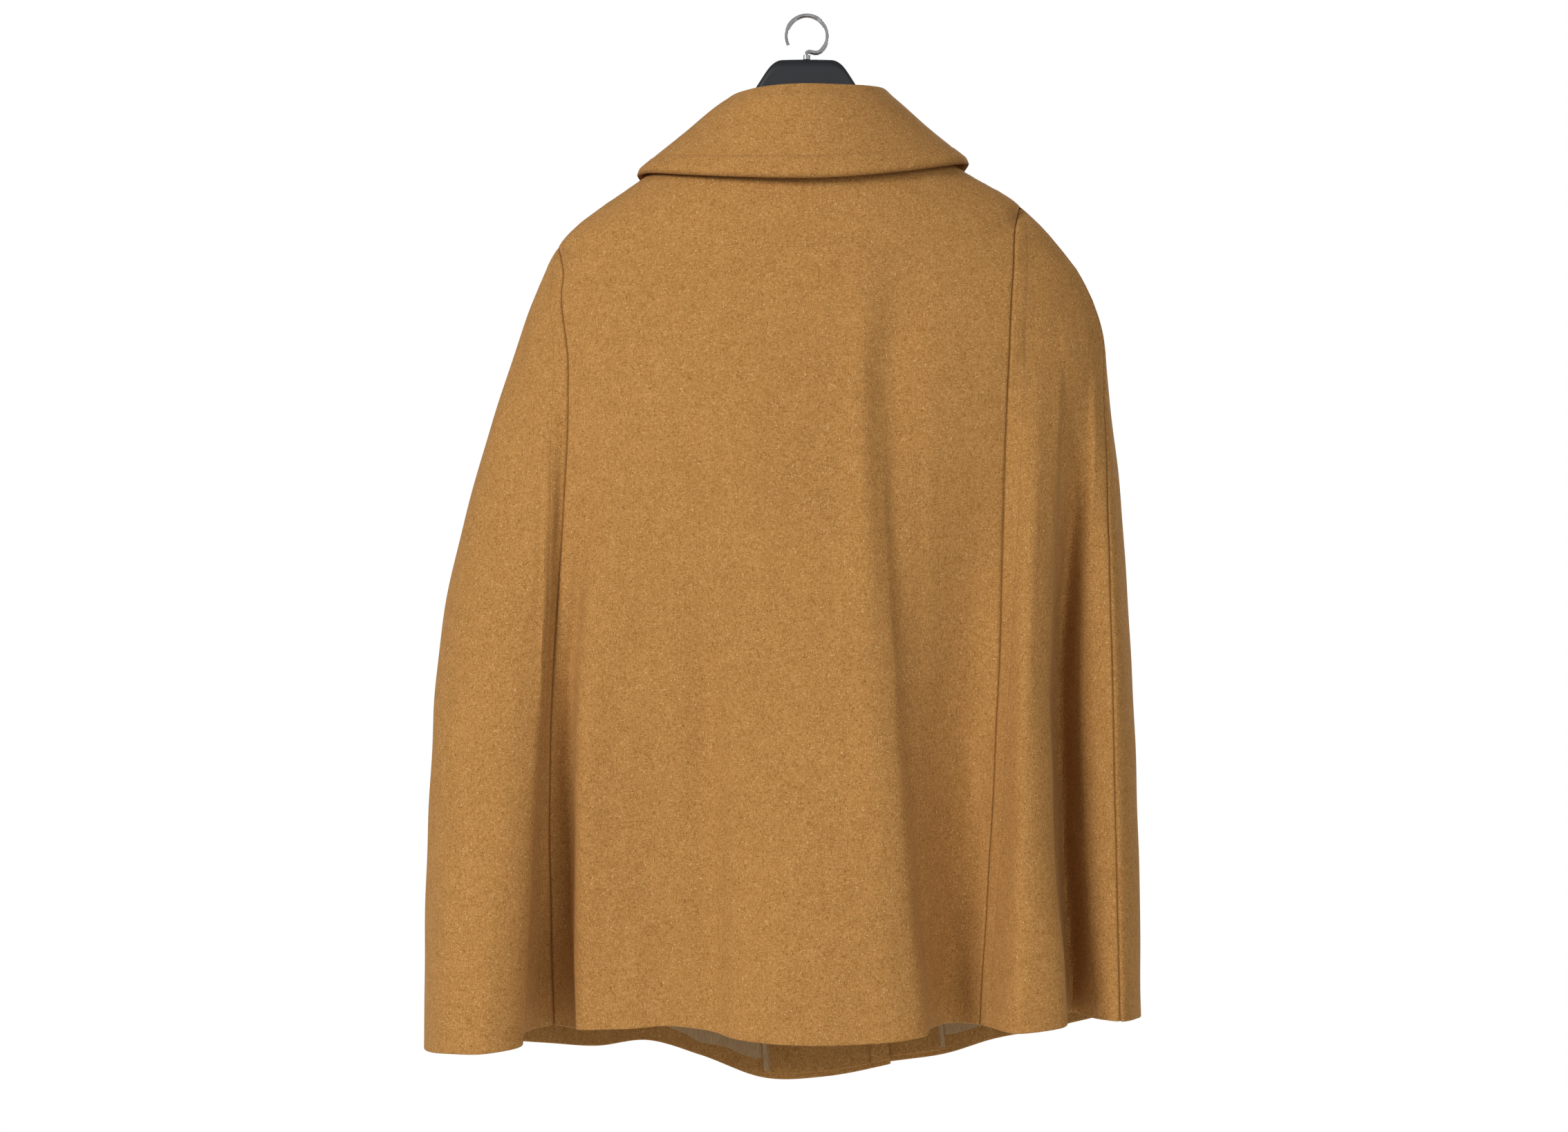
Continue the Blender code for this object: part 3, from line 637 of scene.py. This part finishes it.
def thread_material(name, dark, light):
    made, tree, shader = new_material(name, Roughness=0.62)
    twist = noise(tree, 2600, 2, 0.5, stretch=(1, 1, 0.4), turn=(0.5, 0.5, 0))
    tree.links.new(ramp(tree, twist, ((0.35, dark), (0.65, light))), shader.inputs["Base Color"])
    bump(tree, shader, twist, 0.3, 0.0002)
    return made


def horn_material(name):
    made, tree, shader = new_material(name)
    swirl = noise(tree, 95, 5, 0.62, stretch=(1, 1, 2.4), turn=(0, 0.5, 0))
    fine = noise(tree, 420, 3, 0.5)
    colour = ramp(
        tree,
        swirl,
        ((0.32, (0.028, 0.013, 0.006)), (0.5, (0.10, 0.048, 0.018)), (0.68, (0.30, 0.17, 0.07))),
    )
    shades = ramp(tree, fine, ((0.3, grey(0.85)), (0.7, grey(1.1))))
    tree.links.new(mix(tree, "MULTIPLY", 1.0, colour, shades), shader.inputs["Base Color"])
    rough_between(tree, shader, fine, 0.22, 0.36)
    bump(tree, shader, fine, 0.05, 0.0002)
    return made


def plastic_material(name):
    """Black moulded plastic with a fine matte texture and rubbed patches."""
    made, tree, shader = new_material(name)
    pores = noise(tree, 1400, 2, 0.5)
    rubbed = noise(tree, 34, 4, 0.6)
    colour = ramp(tree, rubbed, ((0.35, (0.0045, 0.0052, 0.0085)), (0.7, (0.009, 0.0100, 0.0150))))
    tree.links.new(colour, shader.inputs["Base Color"])
    rough_between(tree, shader, rubbed, 0.54, 0.44)
    bump(tree, shader, pores, 0.12, 0.0003)
    return made


def steel_material(name):
    made, tree, shader = new_material(name, Metallic=1.0)
    haze = noise(tree, 260, 3, 0.5, stretch=(1, 1, 0.3))
    colour = ramp(tree, haze, ((0.3, (0.70, 0.71, 0.73)), (0.7, (0.82, 0.82, 0.83))))
    tree.links.new(colour, shader.inputs["Base Color"])
    rough_between(tree, shader, haze, 0.13, 0.26)
    return made


WOOL_CLOTH = wool_material("melange_wool")
SATIN_CLOTH = satin_material("lining_satin")
WOOL_THREAD = thread_material("wool_thread", (0.27, 0.13, 0.035), (0.38, 0.19, 0.055))
# Near-black for the needle holes and buttonhole slits: painted shade inside them.
HOLE_SHADE = thread_material("needle_hole_shade", (0.055, 0.026, 0.006), (0.10, 0.05, 0.012))
SATIN_THREAD = thread_material("satin_thread", (0.24, 0.13, 0.045), (0.40, 0.25, 0.10))
HORN = horn_material("polished_horn")
PLASTIC = plastic_material("moulded_plastic")
STEEL = steel_material("polished_steel")

# ---------------------------------------------------------------- cloth

SEAM_NEAR = (0, 0.35, 0.8, 1.4, 2.2, 3.3, 4.8, 6.8, 9.2, 11.4, 12.8, 13.5, 14, 14.5, 15.2, 16.6, 19)
EDGE_NEAR = (0, 0.3, 0.8, 1.6, 2.8, 4.6, 7.5, 11, 14.2, 16.2, 17.3, 18, 18.7, 19.8, 22)
SEAM_STITCH = 14.0
EDGE_STITCH = 18.0


def stitch_groove(distance, at, depth=0.42):
    return -depth * bell(distance - at, 1.35)


def seam_band(distance, at):
    """The raised band over a seam's turnings, which the stitches hold down."""
    return 0.45 * ease(0.5, 3, distance) * (1 - ease(at - 0.5, at + 2.5, distance))


def along_seam(patch):
    """Slight puckers along a seam, in mm."""
    level = patch.levels
    return np.sin(level * 410 + 2 * np.sin(level * 57)) * 0.5 + np.sin(level * 233 + 1.3) * 0.5


def dress(piece, node=None):
    """Puts a piece on the body, in place of a solid where it stands for one."""
    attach(piece, "root")
    if node:
        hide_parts(node)
    return piece


def faces_of(patch, lift, depth, thick, inner_lift=None):
    outer = patch.points + patch.normals * (lift - depth)[..., None]
    inward = patch.soft if inner_lift is None else inner_lift
    inner = patch.points + patch.normals * (inward - depth - thick)[..., None]
    return outer, inner


def wool_panel(name, node, ends, top, kinds):
    """A panel of wool. kinds say what is at each side end: plain seam, topstitched seam or edge."""
    near = EDGE_NEAR if "edge" in kinds else SEAM_NEAR
    patch = Patch(ends, down_levels(top, 1.0), near, 3.6)
    lift = patch.soft.copy()
    painted_shade = np.zeros_like(lift)
    runs = []
    for kind, distance in zip(kinds, (patch.left, patch.right)):
        pucker = along_seam(patch) * bell(distance - 5, 6) * 0.16
        if kind == "edge":
            lift += stitch_groove(distance, EDGE_STITCH, 0.4) - 1.0 * bell(distance, 1.0)
        else:
            lift += pucker - 1.1 * bell(distance, 1.2)
            # Painted shade darkens the cloth along the seam's groove.
            painted_shade += 0.8 * bell(distance, 0.75)
        if kind == "stitched":
            wide = ease(16, 26, patch.left[:, -1:])
            lift += (seam_band(distance, SEAM_STITCH) + stitch_groove(distance, SEAM_STITCH)) * wide
    painted_shade = np.clip(painted_shade, 0, 1)
    outer, inner = faces_of(patch, lift, 0, WOOL)
    for kind, from_left in zip(kinds, (True, False)):
        if kind in ("edge", "stitched"):
            at = EDGE_STITCH if kind == "edge" else SEAM_STITCH
            runs.append(line_on(patch, outer, at, from_left))
    piece = dress(shell(name, outer, inner, WOOL_CLOTH, painted_shade), node)
    if runs:
        dress(stitches(name + "_stitches", runs, WOOL_THREAD))


wool_panel(
    "back_cloth", "back_panel", ("seam_a_left", "seam_a_right"), 0.0,
    ("plain", "plain"),
)
wool_panel(
    "side_back_left_cloth", "side_back_left", ("seam_b_left", "seam_a_left"), GORE_LEVEL,
    ("plain", "stitched"),
)
wool_panel(
    "side_back_right_cloth", "side_back_right", ("seam_a_right", "seam_b_right"), GORE_LEVEL,
    ("stitched", "plain"),
)
wool_panel(
    "front_left_cloth", "front_left", ("left_front_edge", "seam_b_left"), 0.0,
    ("edge", "plain"),
)
wool_panel(
    "front_right_cloth", "front_right", ("seam_b_right", "right_front_edge"), 0.0,
    ("plain", "edge"),
)


def binding(name, line, on_left):
    """The satin strip that binds a facing's raw edge. It lies on the facing, towards the front edge."""
    start = PLACE[line]
    ends = (start - 4.6, start + 0.6) if on_left else (start - 0.6, start + 4.6)
    patch = Patch(ends, down_levels(0.0, 0.992, 6.0), (0, 0.5, 1.1, 1.9), 1.2, samples=60)
    middle = (patch.left + patch.right) / 2
    swell = 0.45 * (1 - ((patch.left - middle) / middle) ** 2)
    depth = WOOL + SEAM_GAP + FACING_WOOL + 0.08
    outer, inner = faces_of(patch, patch.soft, depth, 0.35, patch.soft - swell)
    strip = dress(shell(name, outer, inner, SATIN_CLOTH, np.zeros_like(swell)))
    points, normals = line_on(patch, inner, 0.9, on_left)
    sewn = stitches(name + "_stitches", [(points, -normals)], SATIN_THREAD, pitch=2.6)
    return [strip, dress(sewn)]


def facing(side, ends):
    """A front's wool facing. Its front edge is on the left of the left one and the right of the right one."""
    name = f"facing_{side}_cloth"
    edge_on_left = side == "left"
    patch = Patch(ends, down_levels(0.0, FACING_END, 6.0), EDGE_NEAR, 5.0)
    distance = patch.left if edge_on_left else patch.right
    groove = stitch_groove(distance, EDGE_STITCH, 0.8)
    inner_lift = patch.soft - groove + 0.8 * bell(distance, 0.9)
    # Painted shade darkens the facing along its topstitch groove.
    painted_shade = np.clip(0.4 * bell(distance - EDGE_STITCH, 0.9), 0, 1)
    outer, inner = faces_of(patch, patch.soft, WOOL + SEAM_GAP, FACING_WOOL, inner_lift)
    piece = dress(shell(name, outer, inner, WOOL_CLOTH, painted_shade), f"facing_{side}")
    points, normals = line_on(patch, inner, EDGE_STITCH, edge_on_left)
    sewn = dress(stitches(name + "_stitches", [(points, -normals)], WOOL_THREAD))
    # A place grows from the left front edge to the right one, so the left facing ends at its line.
    strip = binding(f"binding_{side}", ends[1] if edge_on_left else ends[0], edge_on_left)


facing("left", ("left_front_edge", "left_facing_edge"))
facing("right", ("right_facing_edge", "right_front_edge"))


def lining(side, ends, seam_line, seam_off):
    """The satin lining of one front, bagging over its own hem in uneven folds."""
    node = f"lining_{side}"
    patch = Patch(ends, down_levels(0.0, LINING_END, 5.5), (0, 0.5, 1.2, 2.4, 4.5, 8), 5.0)
    where = patch.places
    low = ease(0.90, 0.985, patch.levels)
    wave = np.sin(where / 9.5) + 0.8 * np.sin(where / 15.7 + 1.1) + 0.6 * np.sin(where / 5.3 + 0.4)
    pleat = 2.6 * bell(np.mod(where - 20, 96) - 48, 5.5) * ease(0.62, 0.97, patch.levels)
    drape = 0.5 * np.sin(where / 21 + 3 * patch.levels) * ease(0.2, 0.7, patch.levels)
    bag = low * (2.4 + 0.9 * wave) + pleat + 0.7 + drape
    bag *= ease(0, 7, np.minimum(patch.left, patch.right))
    seam_at = PLACE[seam_line] + seam_off
    bag -= 0.9 * bell(where - seam_at, 1.6)
    lift = patch.soft - np.maximum(bag, 0)
    patch.points[..., 2] += low * (1.6 * wave - 1.0)
    # Painted shade darkens the satin along the seam's groove.
    painted_shade = np.clip(0.75 * bell(where - seam_at, 1.1), 0, 1)
    outer, inner = faces_of(patch, lift, WOOL + LINING_GAP, SATIN * 0.6, lift)
    piece = dress(shell(node + "_cloth", outer, inner, SATIN_CLOTH, painted_shade), node)


lining(
    "left", ("left_facing_edge", "seam_b_left"), "front_left_valley", -14
)
lining(
    "right", ("seam_b_right", "right_facing_edge"), "front_right_valley", 10
)


# ---------------------------------------------------------------- collar


def collar_patch():
    turns = np.linspace(-COLLAR_END_TURN, COLLAR_END_TURN, 270)
    fine = np.linspace(0, 1, 96) ** 0.9
    last = 1 - np.array([0.028, 0.014, 0.005])
    levels = np.sort(np.concatenate([fine[:-1], last, [1.0]]))
    sections = np.array([ring_points(ring, turns) for ring in COLLAR_RINGS])
    points = smooth_between(COLLAR_LEVELS, sections, levels)
    down = np.gradient(points, axis=0)
    along = np.gradient(points, axis=1)
    return turns, levels, points, unit(np.cross(down, along))


def collar():
    turns, levels, points, normals = collar_patch()
    drop = np.linalg.norm(np.diff(points, axis=0), axis=-1)
    from_foot = np.concatenate([np.zeros((1, len(turns))), np.cumsum(drop, axis=0)])
    from_edge = from_foot[-1:] - from_foot
    side = np.linalg.norm(np.diff(points, axis=1), axis=-1)
    across = np.concatenate([np.zeros((len(levels), 1)), np.cumsum(side, axis=1)], axis=1)
    from_end = np.minimum(across, across[:, -1:] - across)
    soft = ripple(points) * 0.8
    lift = soft + stitch_groove(np.minimum(from_edge, from_end), COLLAR_STITCH, 0.4)
    swell = 1 - ease(COLLAR_STITCH - 2, COLLAR_STITCH + 1, from_edge)
    lift += 0.35 * swell * ease(1, 5, from_edge)
    roll = np.clip(1 - from_edge / 6.5, 0, 1) ** 2
    lift -= 2.2 * roll
    # Painted shade darkens the top collar's edge where it rolls under.
    painted_shade = 0.5 * roll**2
    outer = points + normals * lift[..., None]
    inner = points + normals * (soft - WOOL - 1.2 * roll)[..., None]
    top = shell("top_collar_cloth", outer, inner, WOOL_CLOTH, painted_shade)
    dress(top, "top_collar")
    under_lift = soft - WOOL - SEAM_GAP
    thin = 0.6 * bell(from_edge, 1.2) - 1.2 * bell(from_edge, 1.5)
    under_out = (points + normals * under_lift[..., None])[:-2]
    under_in = (points + normals * (under_lift - WOOL - thin)[..., None])[:-2]
    unshaded = np.zeros_like(lift)[:-2]
    under = shell("undercollar_cloth", under_out, under_in, WOOL_CLOTH, unshaded)
    dress(under, "undercollar")
    run, ways = [], []
    for j in np.flatnonzero(from_end[-1] >= COLLAR_STITCH):
        row = np.interp(COLLAR_STITCH, from_edge[::-1, j], np.arange(len(levels))[::-1])
        low, share = int(row), row - int(row)
        run.append(outer[low, j] * (1 - share) + outer[low + 1, j] * share)
        ways.append(normals[low, j])
    sewn = stitches("collar_stitches", [(np.array(run), np.array(ways))], WOOL_THREAD)
    dress(sewn)


collar()

# ---------------------------------------------------------------- buttons and hanger


def tube(path, radius, sides=8):
    """Points and faces of a rod along a path, with closed ends."""
    path = np.asarray(path, float)
    ways = unit(np.gradient(path, axis=0))
    side = unit(np.cross(ways, (0.12, 0.31, 0.94)))
    up = np.cross(side, ways)
    turns = np.arange(sides) * 2 * math.pi / sides
    rings = [
        p + radius * (np.cos(turns)[:, None] * a + np.sin(turns)[:, None] * b)
        for p, a, b in zip(path, side, up)
    ]
    index, after = ring_index(len(path), sides)
    faces = quads(index, after) + [index[0, ::-1].tolist(), index[-1].tolist()]
    return np.concatenate(rings), faces


def joined(parts):
    points, faces, count = [], [], 0
    for part_points, part_faces in parts:
        points.append(part_points)
        faces += [[i + count for i in face] for face in part_faces]
        count += len(part_points)
    return np.concatenate(points), faces


def turned(profile, segments=72):
    """A body turned round Z from a profile of radius and height that starts and ends on the axis."""
    profile = np.array(profile, float)
    along = np.concatenate([[0], np.cumsum(np.linalg.norm(np.diff(profile, axis=0), axis=1))])
    fine = smooth_between(along, profile, np.linspace(0, along[-1], 52))
    turns = np.arange(segments) * 2 * math.pi / segments
    rings = [
        np.stack([r * np.cos(turns), r * np.sin(turns), np.full(segments, z)], -1)
        for r, z in fine[1:-1]
    ]
    points = np.concatenate(rings + [[[0, 0, fine[0, 1]], [0, 0, fine[-1, 1]]]])
    index, after = ring_index(len(rings), segments)
    faces = quads(index, after)
    foot, top = len(points) - 2, len(points) - 1
    for i in range(segments):
        faces.append([foot, int(after[0, i]), int(index[0, i])])
        faces.append([top, int(index[-1, i]), int(after[-1, i])])
    return points, faces


BUTTON_PROFILE = (
    (0, -2.0), (8.8, -2.1), (12.4, -1.6), (13.75, -0.4), (13.9, 0.5), (13.3, 1.6), (12.3, 2.2),
    (11.1, 2.0), (9.7, 1.15), (7.6, 0.8), (0, 0.7),
)
BUTTON_HOLE_AT = 2.6
BUTTON_BACK = 2.1  # from the profile's origin to its back
BUTTON_SPINS = (7, -11, 4, 16)


def horn_mesh():
    """A dished horn button with a raised rim and four holes."""
    body = new_object("button_pattern", *turned(BUTTON_PROFILE), HORN)
    parts = []
    for x in (-BUTTON_HOLE_AT, BUTTON_HOLE_AT):
        for y in (-BUTTON_HOLE_AT, BUTTON_HOLE_AT):
            parts.append(tube([(x, y, z) for z in (-5, 0, 5)], 1.15, 24))
    drill = new_object("button_drill", *joined(parts), HORN)
    cut = body.modifiers.new("holes", "BOOLEAN")
    cut.operation = "DIFFERENCE"
    cut.solver = "EXACT"
    cut.object = drill
    evaluated = body.evaluated_get(bpy.context.evaluated_depsgraph_get())
    mesh = bpy.data.meshes.new_from_object(evaluated)
    bpy.data.objects.remove(drill)
    bpy.data.objects.remove(body)
    mesh.shade_smooth()
    mesh.set_sharp_from_angle(angle=math.radians(35))
    return mesh


def on_cape(places, levels):
    """Points and normals of the finished cloth's face at pairs of place and level."""
    places, levels = np.asarray(places, float), np.asarray(levels, float)
    pair = np.arange(len(places))
    points = cape_points(places, levels)[pair, pair]
    normals = surface_normals(places, levels)[pair, pair]
    soft = ripple(points) + crease_height(places, levels)
    return points + normals * soft[:, None], normals


def buttonhole(name, place, level):
    """A slit with a purl of thread round it, from just past the button towards the wearer's side."""
    turns = np.linspace(0, 2 * math.pi, 120, endpoint=False)
    half, middle = 13.5, place - 12.0
    rows = []
    for step, height in ((0.25, 0.1), (0.5, 0.75), (1.4, 0.9), (2.3, 0.6), (2.7, -0.1)):
        x = np.clip(np.cos(turns) * 1.6, -1, 1) * half + np.cos(turns) * step
        y = np.sin(turns) * step
        ridge = 0.22 * np.sin(turns * 60 + 0.4) * (height > 0.3)
        points, normals = on_cape(middle + x, level + y / CLOTH_LENGTH)
        rows.append(points + normals * (height + ridge)[:, None])
    index, after = ring_index(len(rows), len(turns))
    faces = np.stack([index[:-1], index[1:], after[1:], after[:-1]], -1).reshape(-1, 4).tolist()
    made = new_object(name, np.concatenate(rows), faces, WOOL_THREAD, sharp=70)
    made.data.materials.append(HOLE_SHADE)
    slit = bmesh.new()
    slit.from_mesh(made.data)
    slit.verts.ensure_lookup_table()
    # The slit is closed by a dark face: painted shade where the slit opens into the cloth.
    dark = slit.faces.new([slit.verts[i] for i in index[0]])
    dark.material_index = 1
    slit.to_mesh(made.data)
    slit.free()
    return dress(made)


def button_strands():
    """Thread through the holes, two bars of three strands, and round the shank below."""
    strands = []
    at = BUTTON_HOLE_AT
    for y in (-at, at):
        for shift in (-0.5, 0, 0.5):
            rise = 0.15 * (1 - abs(shift))
            half = [(at, y + shift * 0.6, -0.5), (at - 0.3, y + shift, 1.0), (1.2, y + shift, 1.35 + rise)]
            path = [(-x, y_at, z) for x, y_at, z in half] + half[::-1]
            strands.append(tube(path, 0.36))
    for turn in np.radians(np.arange(6) * 60):
        x, y = 0.9 * math.cos(turn), 0.9 * math.sin(turn)
        strands.append(tube([(x, y, z) for z in (-4.4, -3.0, -1.7)], 0.55))
    return joined(strands)


def buttons():
    pattern = horn_mesh()
    thread, faces = button_strands()
    centre = (PLACE["right_overlap"] + PLACE["right_front_edge"]) / 2
    for number, (level, spin) in enumerate(zip(BUTTON_LEVELS, BUTTON_SPINS), start=1):
        points, normals = on_cape([centre], [level])
        place = Vector(points[0] + normals[0] * (BUTTON_LIFT + BUTTON_BACK))
        turn = Vector(normals[0]).to_track_quat("Z", "Y").to_matrix().to_4x4()
        turn = turn @ Matrix.Rotation(math.radians(spin), 4, "Z")
        mesh = pattern.copy()
        mesh.transform(Matrix.Translation(place * MM) @ turn)
        button = bpy.data.objects.new(f"horn_button_{number}", mesh)
        bpy.context.scene.collection.objects.link(button)
        dress(button, f"button_{number}")
        sewn = thread @ np.array(turn)[:3, :3].T + np.array(place)
        dress(new_object(f"button_thread_{number}", sewn, faces, WOOL_THREAD))
        buttonhole(f"buttonhole_{number}", centre, level)


buttons()

# Sections along the hanger. top: the saddle's top as a height, or how far an arm lies below the cape.
Station = namedtuple("Station", "x top high half_deep")
SADDLE_STATIONS = (
    Station(0, -37.0, 72.0, 10),
    Station(22, -37.4, 71.6, 10),
    Station(30, -41.0, 68.0, 10),
    Station(43, -59.0, 50.0, 10),
)
ARM_STATIONS = (
    Station(66, 4, 32, 10),
    Station(90, 0.3, 29, 12),
    Station(120, -0.2, 27, 14),
    Station(148, 0.8, 24, 14),
    Station(166, 3, 20, 12),
    Station(177, 6, 15, 10),
    Station(184, 11, 8, 6),
)


def arm_top(x):
    """The height of the arm's top at x, just under the cape's shoulder."""
    names = ("left_x", "left_z") if x < 0 else ("right_x", "right_z")
    ridge = np.array([[getattr(ring, name) for name in names] for ring in BODY_RINGS])
    clear = (WOOL + LINING_GAP + SATIN + 2 * SEAM_GAP) / math.cos(math.radians(40))
    return float(smooth_between(np.abs(ridge[:, 0]), ridge[:, 1], [abs(x)])[0]) - clear


def hanger():
    """The moulded body: a flat-fronted saddle with rounded top corners, and two arms."""
    left = [(-x, arm_top(-x) - drop, high, deep) for x, drop, high, deep in ARM_STATIONS[::-1]]
    right = [(x, arm_top(x) - drop, high, deep) for x, drop, high, deep in ARM_STATIONS]
    saddle = [(-x, top, high, deep) for x, top, high, deep in SADDLE_STATIONS[:0:-1]]
    known = np.array(left + saddle + list(SADDLE_STATIONS) + right, float)
    at = np.linspace(known[0, 0], known[-1, 0], 185)
    rows = smooth_between(known[:, 0], known[:, 1:], at, monotone=True)
    sides = 64
    turns = np.arange(sides) * 2 * math.pi / sides
    rings = []
    for x, (top, high, deep) in zip(at, rows):
        boxy = 1 - 0.52 * (1 - ease(44, 74, abs(x)))
        end = 1 - ease(180, 184.5, abs(x)) ** 3 * 0.6
        y = deep * end * np.sign(np.sin(turns)) * np.abs(np.sin(turns)) ** boxy
        z = np.sign(np.cos(turns)) * np.abs(np.cos(turns)) ** boxy * high / 2 * end
        inset = 0.9 * (1 - ease(30, 42, abs(x))) * ease(0.0, 0.3, 0.86 - np.abs(z) / (high / 2))
        y = y - np.sign(y) * inset * (np.abs(np.sin(turns)) > 0.3)
        rings.append(np.stack([np.full(sides, x), y, top - high / 2 + z], -1))
    index, after = ring_index(len(at), sides)
    faces = quads(index, after) + [index[0, ::-1].tolist(), index[-1].tolist()]
    body = new_object("hanger_shell", np.concatenate(rings), faces, PLASTIC, sharp=45)
    dress(body, "hanger_body")


hanger()

# ---------------------------------------------------------------- camera, light and floor

VIEW_DISTANCE = 2.4
VIEW_WIDTH = 2268 * 0.00058  # metres across the view at that distance
camera = bpy.data.objects.new("camera", bpy.data.cameras.new("camera"))
camera.location = (-0.020, -2.51, -0.481)
camera.rotation_euler = (math.pi / 2, 0, 0)
camera.data.sensor_width = 36
camera.data.lens = camera.data.sensor_width * VIEW_DISTANCE / VIEW_WIDTH
bpy.context.scene.collection.objects.link(camera)
bpy.context.scene.camera = camera


def area_light(name, place, size, power, aim=(0, 0, -0.45)):
    lamp = bpy.data.lights.new(name, "AREA")
    lamp.size = size
    lamp.energy = power
    made = bpy.data.objects.new(name, lamp)
    made.location = place
    made.rotation_euler = (Vector(aim) - Vector(place)).to_track_quat("-Z", "Y").to_euler()
    made.visible_camera = False
    bpy.context.scene.collection.objects.link(made)


area_light("key", (-2.0, -2.3, 0.55), 1.0, 74)
area_light("fill", (1.5, -2.6, 0.3), 1.6, 26)
area_light("far_key", (1.3, 2.5, 0.6), 1.4, 52)
area_light("far_fill", (-1.5, 2.4, 0.2), 1.6, 18)

world = bpy.data.worlds.new("studio")
world.use_nodes = True
bpy.context.scene.world = world
sky = world.node_tree
ground = sky.nodes["Background"]
ground.inputs["Color"].default_value = (1, 1, 1, 1)
ground.inputs["Strength"].default_value = 0.30
seen = sky.nodes.new("ShaderNodeBackground")
seen.inputs["Color"].default_value = (1, 1, 1, 1)
seen.inputs["Strength"].default_value = 1.0
path = sky.nodes.new("ShaderNodeLightPath")
either = sky.nodes.new("ShaderNodeMixShader")
sky.links.new(path.outputs["Is Camera Ray"], either.inputs["Fac"])
sky.links.new(ground.outputs["Background"], either.inputs[1])
sky.links.new(seen.outputs["Background"], either.inputs[2])
sky.links.new(either.outputs["Shader"], sky.nodes["World Output"].inputs["Surface"])
bpy.context.scene.view_settings.view_transform = "Standard"

FLOOR_Z = -1.25
floor_mesh = bpy.data.meshes.new("floor")
floor_shape = bmesh.new()
bmesh.ops.create_circle(floor_shape, cap_ends=True, segments=96, radius=1.45)
floor_shape.to_mesh(floor_mesh)
floor_shape.free()
floor = bpy.data.objects.new("floor", floor_mesh)
floor.location = (0, -0.15, FLOOR_Z)
floor_mesh.materials.append(new_material("pale_floor", Base_Color=(*grey(0.82), 1), Roughness=0.9)[0])
bpy.context.scene.collection.objects.link(floor)

for node_name in ("hanger_ferrule", "hanger_hook"):
    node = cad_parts[node_name]
    node.data.materials.clear()
    node.data.materials.append(STEEL)
